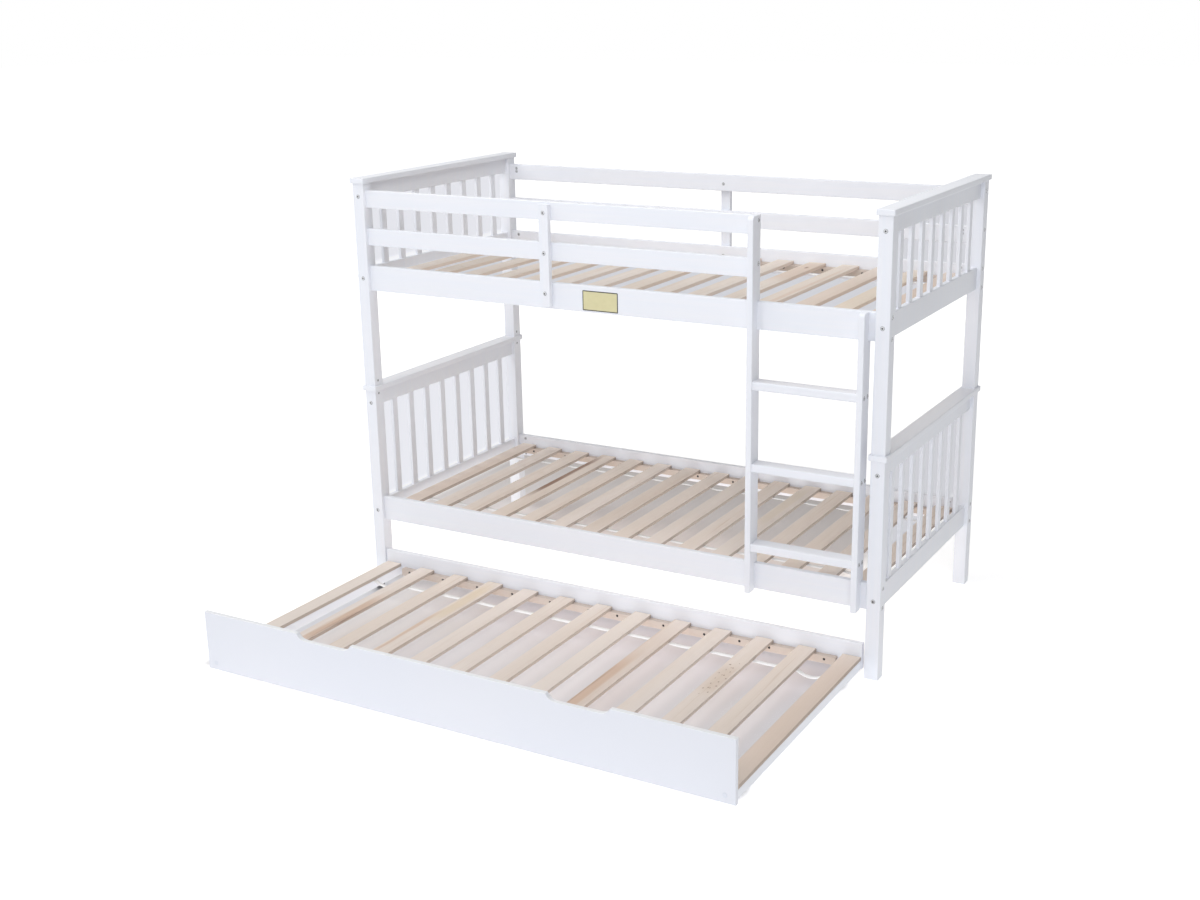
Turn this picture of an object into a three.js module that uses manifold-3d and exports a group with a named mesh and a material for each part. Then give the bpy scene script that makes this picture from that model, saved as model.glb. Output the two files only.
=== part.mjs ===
// A twin bunk bed of white painted pine, with a ladder, guard rails and a trundle bed on castors.
// Millimetres. +X runs along the bed, +Y to its back, +Z up. The trundle stands pulled out at the front.
import * as THREE from 'three';
import { mergeVertices } from 'three/addons/utils/BufferGeometryUtils.js';
import Module from 'manifold-3d';

const wasm = await Module();
wasm.setup();

// Points closer than this are one point
const weldDistance = 0.0001;

// Frame: two bunks, one on the other
const bedLength = 2000;
const bedDepth = 970;
const postSize = 47;
const lowerPostHeight = 728;
const upperPostHeight = 733;
const capThickness = 19;
const capOverhang = 7;
const capCornerRadius = 4;
const boardThickness = 20;
const edgeRadius = 3;

// Side rails and the strips that carry the slats
const sideRailHeight = 90;
const lowerRailBottom = 231;
const upperRailAboveFoot = 351;
const ledgerWidth = 20;
const ledgerHeight = 25;
const ledgerTopAboveRail = 43;
const ledgerEndGap = 12;

// End panels
const topRailHeight = 58;
const endRailHeight = 78;
const lowerEndRailDrop = 3;
const upperEndRailRise = 6;
const endSlatCount = 8;
const endSlatWidth = 28;
const endSlatThickness = 12;
const tenonLength = 10;

// Bed slats, held at their distance by two webbing straps
const slatThickness = 12;
const stripChamfer = 1.5;
const bunkSlatCount = 15;
const bunkSlatWidth = 65;
const bunkSlatInset = 18;
const trundleSlatCount = 13;
const trundleSlatWidth = 62;
const slatEndGap = 1.5;
const strapWidth = 20;
const strapThickness = 1.2;
const strapInset = 155;
const strapSeam = 0.3;
const strapHold = 20;
const strapClearance = 0.3;

// Guard rails
const guardBoardHeight = 61;
const guardGap = 73;
const guardStileWidth = 38;
const guardStileTopInset = 8;
const guardStileBottomInset = 10;

// Ladder
const ladderStileWidth = 20;
const ladderStileDepth = 58;
const ladderClearWidth = 347;
const ladderGapToPost = 24;
const ladderDrop = 5;
const stileNoseRadius = 15;
const rungDepth = 54;
const rungHeight = 28;
const rungEdgeRadius = 5;
const gapUnderFirstRung = 49;
const gapOverLastRung = 160;
const rungCount = 3;
const notchClearance = 0.3;

// Steel pins that stand the upper posts on the lower ones
const pinRadius = 5;
const pinClearance = 0.4;
const pinDepth = 40;
const pinTopGap = 2;
const pinChamfer = 1;
const pinSegments = 16;

// Trundle, which rolls in between the posts and under the side rails
const trundleSideGap = 8;
const trundleBackGap = 10;
const frontPanelThickness = 16;
const frontPanelBottom = 19;
const frontPanelTopGap = 14;
const rearPanelHeight = 89;
const trundleEndWidth = 62;
const trundleEndHeight = 31;
const trundleEndInset = 1.5;
const trundleEndAboveAxle = 6;
const trundleLedgerHeight = 27;
const trundleLedgerEndGap = 18;
const scoopWidth = 210;
const scoopDepth = 20;
const scoopFlankLength = 34;
const scoopOffset = 455;
const panelBevel = 1.5;

// Castors
const wheelRadius = 22;
const wheelWidth = 16;
const wheelTopClearance = 4;
const hubWidth = 19;
const hubRadius = 8;
const hubSideClearance = 0.5;
const wheelWebWidth = 8;
const wheelRimThickness = 6;
const wheelEdge = 2;
const wheelSegments = 20;
const axleRadius = 3;
const axleClearance = 0.4;
const bracketSteel = 2;
const bracketLength = 56;
const bracketNoseRadius = 9;
const bracketShoulderHeight = 10;
const pocketClearance = 0.5;
const castorInset = 92;

// Places worked out from the sizes above
const boardInset = (postSize - boardThickness) / 2;
const boardBack = boardInset + boardThickness;
const postCentre = bedLength / 2 - postSize / 2;
const innerLength = bedLength - 2 * postSize;
const lowerCapBottom = lowerPostHeight;
const upperPostFoot = lowerCapBottom + capThickness;
const upperCapBottom = upperPostFoot + upperPostHeight;
const lowerRailTop = lowerRailBottom + sideRailHeight;
const lowerEndRailBottom = lowerRailBottom - lowerEndRailDrop;
const upperRailBottom = upperPostFoot + upperRailAboveFoot;
const upperRailTop = upperRailBottom + sideRailHeight;
const upperEndRailBottom = upperRailBottom + upperEndRailRise;
const guardTop = upperRailTop + 2 * (guardGap + guardBoardHeight);
const firstRungCentre = lowerRailTop + gapUnderFirstRung + rungHeight / 2;
const lastRungCentre = upperRailBottom - gapOverLastRung - rungHeight / 2;
const pinBoreRadius = pinRadius + pinClearance;
const rightStileX = bedLength / 2 - postSize - ladderGapToPost - ladderStileWidth / 2;
const leftStileX = rightStileX - ladderClearWidth - ladderStileWidth;
const trundleWidth = innerLength - 2 * trundleSideGap;
const trundleDepth = bedDepth - trundleBackGap;
const rearPanelFront = trundleDepth - boardThickness;
const trundlePull = rearPanelFront;
const trundleClearDepth = rearPanelFront - frontPanelThickness;
const trundleMiddleY = frontPanelThickness + trundleClearDepth / 2;
const frontPanelHeight = lowerRailBottom - frontPanelTopGap - frontPanelBottom;
const trundleBoxBottom = wheelRadius + trundleEndAboveAxle;
const trundleSlatFoot = trundleBoxBottom + trundleEndHeight;
const trundleSlatLength = trundleClearDepth - 2 * slatEndGap;
const trundleEndReach = trundleWidth / 2 - trundleEndInset;
const trundleEndCentre = trundleEndReach - trundleEndWidth / 2;
const trundleEndInner = trundleEndReach - trundleEndWidth;
const castorReach = trundleClearDepth / 2 - castorInset;
const axleBoreRadius = axleRadius + axleClearance;
const bracketInnerWidth = hubWidth + 2 * hubSideClearance;
const bracketWidth = bracketInnerWidth + 2 * bracketSteel;
const bracketTop = wheelRadius + wheelTopClearance + bracketSteel;

const sides = [['left', -1], ['right', 1]];
const rows = [['front', postSize / 2], ['rear', bedDepth - postSize / 2]];

const paint = new THREE.MeshStandardMaterial({ color: 0xe9ebf3, roughness: 0.45 });
const pine = new THREE.MeshStandardMaterial({ color: 0xd9c8b4, roughness: 0.7 });
const webbing = new THREE.MeshStandardMaterial({ color: 0xf2f0ec, roughness: 0.9 });
const steel = new THREE.MeshStandardMaterial({ color: 0x9a9da1, roughness: 0.35, metalness: 0.9 });
const tread = new THREE.MeshStandardMaterial({ color: 0x2b2b2d, roughness: 0.6 });

// A closed geometry as a solid for cutting and joining
function toSolid(geometry) {
  const bare = geometry.clone();
  bare.deleteAttribute('normal');
  bare.deleteAttribute('uv');
  const merged = mergeVertices(bare, weldDistance);
  const mesh = new wasm.Mesh({
    numProp: 3,
    vertProperties: new Float32Array(merged.attributes.position.array),
    triVerts: new Uint32Array(merged.index.array),
  });
  return new wasm.Manifold(mesh);
}

function toGeometry(solid) {
  const mesh = solid.getMesh();
  const geometry = new THREE.BufferGeometry();
  geometry.setAttribute('position', new THREE.BufferAttribute(new Float32Array(mesh.vertProperties), 3));
  geometry.setIndex(new THREE.BufferAttribute(new Uint32Array(mesh.triVerts), 1));
  geometry.computeVertexNormals();
  return geometry;
}

function join(geometries) {
  const solids = geometries.map(toSolid);
  return toGeometry(solids.reduce((whole, next) => whole.add(next)));
}

function cut(geometry, tools) {
  const solids = tools.map(toSolid);
  return toGeometry(solids.reduce((whole, tool) => whole.subtract(tool), toSolid(geometry)));
}

function roundedRectangle(width, height, radius) {
  const x = width / 2;
  const y = height / 2;
  const shape = new THREE.Shape();
  shape.moveTo(-x + radius, -y);
  shape.lineTo(x - radius, -y);
  shape.absarc(x - radius, -y + radius, radius, -Math.PI / 2, 0);
  shape.lineTo(x, y - radius);
  shape.absarc(x - radius, y - radius, radius, 0, Math.PI / 2);
  shape.lineTo(-x + radius, y);
  shape.absarc(-x + radius, y - radius, radius, Math.PI / 2, Math.PI);
  shape.lineTo(-x, -y + radius);
  shape.absarc(-x + radius, -y + radius, radius, Math.PI, 1.5 * Math.PI);
  return shape;
}

// A bar centred on the origin. width and height are its section, and along names the axis it runs on.
function bar(length, width, height, along, radius, curveSegments) {
  const section = roundedRectangle(width, height, radius);
  const geometry = new THREE.ExtrudeGeometry(section, { depth: length, bevelEnabled: false, curveSegments });
  geometry.translate(0, 0, -length / 2);
  if (along === 'x') geometry.rotateX(Math.PI / 2).rotateZ(Math.PI / 2);
  if (along === 'y') geometry.rotateX(Math.PI / 2);
  return geometry;
}

// Painted boards have rounded edges, and slats and bare strips have theirs planed off
function board(length, width, height, along, radius = edgeRadius) {
  return bar(length, width, height, along, radius, 2);
}

function strip(length, width, height, along) {
  return bar(length, width, height, along, stripChamfer, 1);
}

// A flat outline of given thickness along X, centred on it, with its edges eased
function panelAlongX(shape, thickness) {
  const geometry = new THREE.ExtrudeGeometry(shape, {
    depth: thickness - 2 * panelBevel,
    bevelThickness: panelBevel,
    bevelSize: panelBevel,
    bevelOffset: -panelBevel,
    bevelSegments: 1,
    curveSegments: 6,
  });
  geometry.translate(0, 0, -thickness / 2 + panelBevel);
  return geometry.rotateX(Math.PI / 2).rotateZ(Math.PI / 2);
}

function place(group, name, geometry, material, x, y, z) {
  const mesh = new THREE.Mesh(geometry, material);
  mesh.name = name;
  mesh.position.set(x, y, z);
  group.add(mesh);
  return mesh;
}

function pinBore(centreZ, length) {
  const bore = new THREE.CylinderGeometry(pinBoreRadius, pinBoreRadius, length, pinSegments);
  return bore.rotateX(Math.PI / 2).translate(0, 0, centreZ);
}

function lowerPost() {
  const body = board(lowerPostHeight, postSize, postSize, 'z');
  return cut(body, [pinBore(lowerPostHeight / 2, 2 * pinDepth)]);
}

function upperPost() {
  const body = board(upperPostHeight, postSize, postSize, 'z');
  return cut(body, [pinBore(-upperPostHeight / 2, 2 * (pinDepth + pinTopGap))]);
}

function joiningPin() {
  const half = (2 * pinDepth + capThickness) / 2;
  const profile = [
    new THREE.Vector2(0, -half),
    new THREE.Vector2(pinRadius - pinChamfer, -half),
    new THREE.Vector2(pinRadius, -half + pinChamfer),
    new THREE.Vector2(pinRadius, half - pinChamfer),
    new THREE.Vector2(pinRadius - pinChamfer, half),
    new THREE.Vector2(0, half),
  ];
  return new THREE.LatheGeometry(profile, pinSegments).rotateX(Math.PI / 2);
}

// The cap board that closes an end, rounded over all round. On the lower bunk the pins pass through it.
function capBoard(withPinHoles) {
  const width = postSize + 2 * capOverhang;
  const length = bedDepth + 2 * capOverhang;
  const outline = roundedRectangle(width, length, capCornerRadius);
  const geometry = new THREE.ExtrudeGeometry(outline, {
    depth: capThickness - 2 * edgeRadius,
    bevelThickness: edgeRadius,
    bevelSize: edgeRadius,
    bevelOffset: -edgeRadius,
    bevelSegments: 2,
    curveSegments: 2,
  });
  geometry.translate(0, 0, -capThickness / 2 + edgeRadius);
  if (!withPinHoles) return geometry;
  const reach = bedDepth / 2 - postSize / 2;
  const holes = [-reach, reach].map((y) => pinBore(0, 2 * capThickness).translate(0, y, 0));
  return cut(geometry, holes);
}

// Top rail, bottom rail and eight slats, glued up as one panel. Its origin is the middle of its foot.
function endPanel(height) {
  const length = bedDepth - 2 * postSize;
  const clearHeight = height - topRailHeight - endRailHeight;
  const slatLength = clearHeight + 2 * tenonLength;
  const gap = (length - endSlatCount * endSlatWidth) / (endSlatCount + 1);
  const pieces = [
    board(length, endRailHeight, boardThickness, 'y').rotateY(Math.PI / 2).translate(0, 0, endRailHeight / 2),
    board(length, topRailHeight, boardThickness, 'y').rotateY(Math.PI / 2)
      .translate(0, 0, height - topRailHeight / 2),
  ];
  for (let i = 0; i < endSlatCount; i += 1) {
    const y = -length / 2 + gap + endSlatWidth / 2 + i * (endSlatWidth + gap);
    const slat = strip(slatLength, endSlatThickness, endSlatWidth, 'z');
    pieces.push(slat.translate(0, y, endRailHeight + clearHeight / 2));
  }
  return join(pieces);
}

// Loose slats on two straps. The origin is the middle of the slats' underside.
function slatRoll(count, slatWidth, slatLength, rollLength, strapLength) {
  const pieces = [];
  const pitch = (rollLength - slatWidth) / (count - 1);
  for (let i = 0; i < count; i += 1) {
    const slat = strip(slatLength, slatWidth, slatThickness, 'y');
    pieces.push(slat.translate(-rollLength / 2 + slatWidth / 2 + i * pitch, 0, slatThickness / 2));
  }
  for (const side of [-1, 1]) {
    const strap = new THREE.BoxGeometry(strapLength, strapWidth, strapThickness + strapSeam);
    const y = side * (slatLength / 2 - strapInset);
    pieces.push(strap.translate(0, y, (strapSeam - strapThickness) / 2));
  }
  return join(pieces);
}

// Side view of a ladder stile, Y to the right and Z up, notched over both side rails
function ladderStile(top) {
  const front = boardBack - ladderStileDepth;
  const bottom = lowerRailBottom - ladderDrop;
  const notchFloor = upperRailBottom - notchClearance;
  const shape = new THREE.Shape();
  shape.moveTo(front, bottom);
  shape.lineTo(boardInset, bottom);
  shape.lineTo(boardInset, lowerRailTop + notchClearance);
  shape.lineTo(boardBack, lowerRailTop + notchClearance);
  shape.lineTo(boardBack, notchFloor);
  shape.lineTo(boardInset, notchFloor);
  if (top > upperRailTop) {
    shape.lineTo(boardInset, upperRailTop + notchClearance);
    shape.lineTo(boardBack, upperRailTop + notchClearance);
    shape.lineTo(boardBack, top);
  } else {
    shape.lineTo(boardInset, top);
  }
  shape.lineTo(front + stileNoseRadius, top);
  shape.absarc(front + stileNoseRadius, top - stileNoseRadius, stileNoseRadius, Math.PI / 2, Math.PI);
  return panelAlongX(shape, ladderStileWidth);
}

// The tall front panel, with two scooped hand-holds in its top edge. The origin is the middle of its foot.
function trundleFrontPanel() {
  const half = trundleWidth / 2;
  const floor = frontPanelHeight - scoopDepth;
  const shape = new THREE.Shape();
  shape.moveTo(-half, 0);
  shape.lineTo(half, 0);
  shape.lineTo(half, frontPanelHeight);
  for (const centre of [scoopOffset, -scoopOffset]) {
    const outer = centre + scoopWidth / 2;
    const inner = centre - scoopWidth / 2;
    shape.lineTo(outer, frontPanelHeight);
    shape.quadraticCurveTo(outer - scoopFlankLength / 3, floor, outer - scoopFlankLength, floor);
    shape.lineTo(inner + scoopFlankLength, floor);
    shape.quadraticCurveTo(inner + scoopFlankLength / 3, floor, inner, frontPanelHeight);
  }
  shape.lineTo(-half, frontPanelHeight);
  return panelAlongX(shape, frontPanelThickness).rotateZ(-Math.PI / 2);
}

// A wheel on its side: axis along X, running on its own axle pin
function castorWheel() {
  const rim = wheelRadius - wheelRimThickness;
  const outline = [
    [axleBoreRadius, hubWidth / 2],
    [hubRadius, hubWidth / 2],
    [hubRadius, wheelWebWidth / 2],
    [rim, wheelWebWidth / 2],
    [rim, wheelWidth / 2],
    [wheelRadius - wheelEdge, wheelWidth / 2],
    [wheelRadius, wheelWidth / 2 - wheelEdge],
  ];
  const lower = outline.map(([radius, height]) => new THREE.Vector2(radius, -height));
  const upper = outline.map(([radius, height]) => new THREE.Vector2(radius, height)).reverse();
  const profile = [...lower, ...upper, lower[0].clone()];
  return new THREE.LatheGeometry(profile, wheelSegments).rotateZ(Math.PI / 2);
}

// A board that lies flat under the outer slat, rebated for the straps, with a pocket for each castor.
// The origin is its middle, and its inner edge faces +X.
function trundleEndBoard() {
  const body = board(trundleClearDepth, trundleEndWidth, trundleEndHeight, 'y');
  const strapReach = trundleSlatLength / 2 - strapInset;
  const rebateLength = 2 * (strapHold + strapClearance);
  const rebateWidth = strapWidth + 2 * strapClearance;
  const rebateHeight = 2 * (strapThickness + strapClearance);
  const pocketWidth = bracketWidth + 2 * pocketClearance;
  const pocketLength = bracketLength + 2 * pocketClearance;
  const pocketHeight = 2 * (bracketTop - trundleEndAboveAxle);
  const tools = [];
  for (const side of [-1, 1]) {
    const rebate = new THREE.BoxGeometry(rebateLength, rebateWidth, rebateHeight);
    const pocket = new THREE.BoxGeometry(pocketWidth, pocketLength, pocketHeight);
    tools.push(rebate.translate(trundleEndWidth / 2, side * strapReach, trundleEndHeight / 2));
    tools.push(pocket.translate(0, side * castorReach, -trundleEndHeight / 2));
  }
  return cut(body, tools);
}

function bracketCheek() {
  const half = bracketLength / 2;
  const shape = new THREE.Shape();
  shape.moveTo(-half, bracketTop);
  shape.lineTo(-half, bracketShoulderHeight);
  shape.lineTo(-bracketNoseRadius, 0);
  shape.absarc(0, 0, bracketNoseRadius, Math.PI, 2 * Math.PI);
  shape.lineTo(half, bracketShoulderHeight);
  shape.lineTo(half, bracketTop);
  const options = { depth: bracketSteel, bevelEnabled: false, curveSegments: 8 };
  const geometry = new THREE.ExtrudeGeometry(shape, options);
  return geometry.rotateX(Math.PI / 2).rotateZ(Math.PI / 2);
}

// Pressed steel fork that is screwed up into its pocket, with its axle. The origin is the axle's middle.
function castorBracket() {
  const left = bracketCheek().translate(-bracketWidth / 2, 0, 0);
  const right = bracketCheek().translate(bracketInnerWidth / 2, 0, 0);
  const web = new THREE.BoxGeometry(bracketWidth, bracketLength, bracketSteel);
  web.translate(0, 0, bracketTop - bracketSteel / 2);
  const axle = new THREE.CylinderGeometry(axleRadius, axleRadius, bracketWidth, pinSegments);
  axle.rotateZ(Math.PI / 2);
  return join([left, right, web, axle]);
}

function addPosts(bed) {
  for (const [side, sx] of sides) {
    for (const [row, y] of rows) {
      const x = sx * postCentre;
      const pinCentre = lowerCapBottom + capThickness / 2;
      place(bed, `lower_post_${row}_${side}`, lowerPost(), paint, x, y, lowerPostHeight / 2);
      place(bed, `joining_pin_${row}_${side}`, joiningPin(), steel, x, y, pinCentre);
      place(bed, `upper_post_${row}_${side}`, upperPost(), paint, x, y, upperPostFoot + upperPostHeight / 2);
    }
  }
}

function addEnds(bed) {
  const lowerHeight = lowerPostHeight - lowerEndRailBottom;
  const upperHeight = upperCapBottom - upperEndRailBottom;
  const y = bedDepth / 2;
  for (const [side, sx] of sides) {
    const x = sx * postCentre;
    place(bed, `lower_end_panel_${side}`, endPanel(lowerHeight), paint, x, y, lowerEndRailBottom);
    place(bed, `upper_end_panel_${side}`, endPanel(upperHeight), paint, x, y, upperEndRailBottom);
    place(bed, `lower_cap_${side}`, capBoard(true), paint, x, y, lowerCapBottom + capThickness / 2);
    place(bed, `upper_cap_${side}`, capBoard(false), paint, x, y, upperCapBottom + capThickness / 2);
  }
}

function addBunkBase(bed, level, railBottom) {
  const ledgerTop = railBottom + ledgerTopAboveRail;
  const ledgerLength = innerLength - 2 * ledgerEndGap;
  for (const [row, facing] of [['front', 1], ['rear', -1]]) {
    const outer = row === 'front' ? 0 : bedDepth;
    const railY = outer + facing * (boardInset + boardThickness / 2);
    const ledgerY = outer + facing * (boardBack + ledgerWidth / 2);
    const rail = board(innerLength, boardThickness, sideRailHeight, 'x');
    const ledger = strip(ledgerLength, ledgerWidth, ledgerHeight, 'x');
    place(bed, `${level}_side_rail_${row}`, rail, paint, 0, railY, railBottom + sideRailHeight / 2);
    place(bed, `${level}_ledger_${row}`, ledger, pine, 0, ledgerY, ledgerTop - ledgerHeight / 2);
  }
  const slatLength = bedDepth - 2 * (boardBack + slatEndGap);
  const rollLength = innerLength - 2 * bunkSlatInset;
  const roll = slatRoll(bunkSlatCount, bunkSlatWidth, slatLength, rollLength, rollLength);
  place(bed, `${level}_slat_roll`, roll, pine, 0, bedDepth / 2, ledgerTop);
}

function addGuard(bed, row, fromX, toX, stileX) {
  const outer = row === 'front' ? 0 : bedDepth;
  const facing = row === 'front' ? 1 : -1;
  const y = outer + facing * (boardInset + boardThickness / 2);
  const stileY = y - facing * boardThickness;
  const length = toX - fromX;
  const lowerZ = upperRailTop + guardGap + guardBoardHeight / 2;
  const upperZ = lowerZ + guardGap + guardBoardHeight;
  const stileTop = guardTop - guardStileTopInset;
  const stileBottom = upperRailBottom + guardStileBottomInset;
  const stile = board(stileTop - stileBottom, guardStileWidth, boardThickness, 'z');
  for (const [level, z] of [['lower', lowerZ], ['upper', upperZ]]) {
    const rail = board(length, boardThickness, guardBoardHeight, 'x');
    place(bed, `${row}_guard_board_${level}`, rail, paint, (fromX + toX) / 2, y, z);
  }
  place(bed, `${row}_guard_stile`, stile, paint, stileX, stileY, (stileTop + stileBottom) / 2);
}

function addLadder(bed) {
  place(bed, 'ladder_stile_left', ladderStile(guardTop), paint, leftStileX, 0, 0);
  place(bed, 'ladder_stile_right', ladderStile(upperRailTop), paint, rightStileX, 0, 0);
  const x = (leftStileX + rightStileX) / 2;
  const y = boardBack - rungDepth / 2;
  const rungSpacing = (lastRungCentre - firstRungCentre) / (rungCount - 1);
  for (let i = 0; i < rungCount; i += 1) {
    const rung = board(ladderClearWidth, rungDepth, rungHeight, 'x', rungEdgeRadius);
    place(bed, `ladder_rung_${i + 1}`, rung, paint, x, y, firstRungCentre + i * rungSpacing);
  }
}

// The trundle's own group has its origin at the middle of the front panel's face, on the floor
function addTrundleBox(trundle) {
  const rear = board(trundleWidth, boardThickness, rearPanelHeight, 'x');
  const frontY = frontPanelThickness / 2;
  const rearY = rearPanelFront + boardThickness / 2;
  const endZ = trundleBoxBottom + trundleEndHeight / 2;
  place(trundle, 'trundle_front_panel', trundleFrontPanel(), paint, 0, frontY, frontPanelBottom);
  place(trundle, 'trundle_rear_panel', rear, paint, 0, rearY, trundleBoxBottom + rearPanelHeight / 2);
  place(trundle, 'trundle_end_rail_left', trundleEndBoard(), paint, -trundleEndCentre, trundleMiddleY, endZ);
  const right = trundleEndBoard().rotateZ(Math.PI);
  place(trundle, 'trundle_end_rail_right', right, paint, trundleEndCentre, trundleMiddleY, endZ);
  const ledgerLength = 2 * (trundleEndInner - trundleLedgerEndGap);
  const ledgerReach = (trundleClearDepth - ledgerWidth) / 2;
  const ledgerZ = trundleSlatFoot - trundleLedgerHeight / 2;
  for (const [row, y] of [['front', trundleMiddleY - ledgerReach], ['rear', trundleMiddleY + ledgerReach]]) {
    const ledger = strip(ledgerLength, ledgerWidth, trundleLedgerHeight, 'x');
    place(trundle, `trundle_ledger_${row}`, ledger, pine, 0, y, ledgerZ);
  }
  const strapLength = 2 * (trundleEndInner + strapHold);
  const rollLength = 2 * trundleEndReach;
  const roll = slatRoll(trundleSlatCount, trundleSlatWidth, trundleSlatLength, rollLength, strapLength);
  place(trundle, 'trundle_slat_roll', roll, pine, 0, trundleMiddleY, trundleSlatFoot);
}

function addCastors(trundle) {
  for (const [row, y] of [['front', trundleMiddleY - castorReach], ['rear', trundleMiddleY + castorReach]]) {
    for (const [side, sx] of sides) {
      const x = sx * trundleEndCentre;
      place(trundle, `castor_bracket_${row}_${side}`, castorBracket(), steel, x, y, wheelRadius);
      place(trundle, `castor_wheel_${row}_${side}`, castorWheel(), tread, x, y, wheelRadius);
    }
  }
}

const bed = new THREE.Group();
addPosts(bed);
addEnds(bed);
addBunkBase(bed, 'lower', lowerRailBottom);
addBunkBase(bed, 'upper', upperRailBottom);
const guardFrontEnd = leftStileX - ladderStileWidth / 2;
addGuard(bed, 'front', -innerLength / 2, guardFrontEnd, (guardFrontEnd - innerLength / 2) / 2);
addGuard(bed, 'rear', -innerLength / 2, innerLength / 2, 0);
addLadder(bed);

const trundle = new THREE.Group();
addTrundleBox(trundle);
addCastors(trundle);
trundle.position.y = -trundlePull;
bed.add(trundle);

// The origin is on the floor, in the middle of the bed with its trundle pulled out
bed.position.y = (trundlePull - bedDepth - capOverhang) / 2;
const object = new THREE.Group();
object.add(bed);
object.updateMatrixWorld(true);

export default object;
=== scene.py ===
"""A white painted twin bunk bed with a ladder, guard rails and a trundle bed, in metres."""
import math

import bmesh
import bpy
from mathutils import Matrix, Vector


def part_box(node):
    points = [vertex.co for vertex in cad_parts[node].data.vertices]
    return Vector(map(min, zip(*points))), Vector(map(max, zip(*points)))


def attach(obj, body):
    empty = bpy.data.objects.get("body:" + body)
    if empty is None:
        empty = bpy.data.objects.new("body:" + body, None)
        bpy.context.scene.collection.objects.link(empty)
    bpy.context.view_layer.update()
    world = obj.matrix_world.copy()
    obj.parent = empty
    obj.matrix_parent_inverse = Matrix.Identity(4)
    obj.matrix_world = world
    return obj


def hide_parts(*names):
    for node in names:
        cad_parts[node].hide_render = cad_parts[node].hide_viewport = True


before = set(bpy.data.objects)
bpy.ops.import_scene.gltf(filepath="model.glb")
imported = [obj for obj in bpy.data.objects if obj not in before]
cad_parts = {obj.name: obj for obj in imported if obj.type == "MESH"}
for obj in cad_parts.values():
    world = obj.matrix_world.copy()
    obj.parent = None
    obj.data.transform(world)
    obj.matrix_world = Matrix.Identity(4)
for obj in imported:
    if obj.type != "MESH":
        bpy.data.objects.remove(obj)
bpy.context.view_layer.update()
MM = 0.001


def new_object(name, data):
    thing = bpy.data.objects.new(name, data)
    bpy.context.collection.objects.link(thing)
    return thing


# The camera, above the top guard rail, to the right of the bed and close to it

CAMERA_PLACE = Vector((2.4753, -4.2397, 2.1100))
CAMERA_YAW = math.radians(-28.932)
CAMERA_PITCH = math.radians(-16.3646)
CAMERA_ROLL = math.radians(-0.6843)
LENS = 45.4325
SENSOR = 36.0
SHIFT_X = -0.03218
SHIFT_Y = -0.00985


def set_camera():
    forward = Vector((
        math.sin(CAMERA_YAW) * math.cos(CAMERA_PITCH),
        math.cos(CAMERA_YAW) * math.cos(CAMERA_PITCH),
        math.sin(CAMERA_PITCH),
    ))
    level = Vector((math.cos(CAMERA_YAW), -math.sin(CAMERA_YAW), 0.0))
    upright = level.cross(forward)
    right = math.cos(CAMERA_ROLL) * level + math.sin(CAMERA_ROLL) * upright
    up = math.cos(CAMERA_ROLL) * upright - math.sin(CAMERA_ROLL) * level
    data = bpy.data.cameras.new("camera")
    data.lens = LENS
    data.sensor_width = SENSOR
    data.shift_x = SHIFT_X
    data.shift_y = SHIFT_Y
    camera = new_object("camera", data)
    turn = Matrix((right, up, -forward)).transposed().to_4x4()
    camera.matrix_world = Matrix.Translation(CAMERA_PLACE) @ turn
    bpy.context.scene.camera = camera


# Small helpers for node trees

def add_node(tree, kind, inputs=None, **settings):
    """A new node. inputs maps a socket's name or number to a value or to the socket that feeds it."""
    node = tree.nodes.new(kind)
    for name, value in settings.items():
        setattr(node, name, value)
    for name, value in (inputs or {}).items():
        if isinstance(value, bpy.types.NodeSocket):
            tree.links.new(value, node.inputs[name])
        else:
            node.inputs[name].default_value = value
    return node


def calc(tree, operation, a, b=0.0, c=0.0):
    inputs = {0: a, 1: b, 2: c}
    return add_node(tree, "ShaderNodeMath", inputs, operation=operation).outputs[0]


def combine(tree, x=0.0, y=0.0, z=0.0):
    """A vector of three numbers"""
    return add_node(tree, "ShaderNodeCombineXYZ", {0: x, 1: y, 2: z}).outputs[0]


def blend(tree, factor, a, b):
    """A number between a and b"""
    return add_node(tree, "ShaderNodeMix", {0: factor, 2: a, 3: b}, data_type="FLOAT").outputs[0]


def blend_colours(tree, factor, a, b, mode="MIX"):
    inputs = {0: factor, 6: a, 7: b}
    return add_node(tree, "ShaderNodeMix", inputs, data_type="RGBA", blend_type=mode).outputs[2]


def spread(tree, value, low, high, to_low=0.0, to_high=1.0):
    """value, taken from low..high to to_low..to_high and held there"""
    inputs = {0: value, 1: low, 2: high, 3: to_low, 4: to_high}
    return add_node(tree, "ShaderNodeMapRange", inputs, interpolation_type="SMOOTHSTEP").outputs[0]


def within(tree, value, rise_from, rise_to, fall_from, fall_to):
    """1 between rise_to and fall_from, falling softly to 0 on either side"""
    rise = spread(tree, value, rise_from, rise_to)
    return calc(tree, "MULTIPLY", rise, spread(tree, value, fall_from, fall_to, 1.0, 0.0))


def hump(tree, value, centre, reach, soft):
    """1 within reach of centre, falling to 0 over soft"""
    away = calc(tree, "ABSOLUTE", calc(tree, "SUBTRACT", value, centre))
    return spread(tree, away, reach, reach + soft, 1.0, 0.0)


def stretched(tree, vector, scale, offset=(0.0, 0.0, 0.0)):
    inputs = {"Vector": vector, "Scale": scale, "Location": offset}
    return add_node(tree, "ShaderNodeMapping", inputs).outputs[0]


def noise(tree, vector, scale, detail=3.0, roughness=0.5, distortion=0.0):
    inputs = {
        "Vector": vector, "Scale": scale, "Detail": detail, "Roughness": roughness, "Distortion": distortion,
    }
    return add_node(tree, "ShaderNodeTexNoise", inputs).outputs["Fac"]


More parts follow.
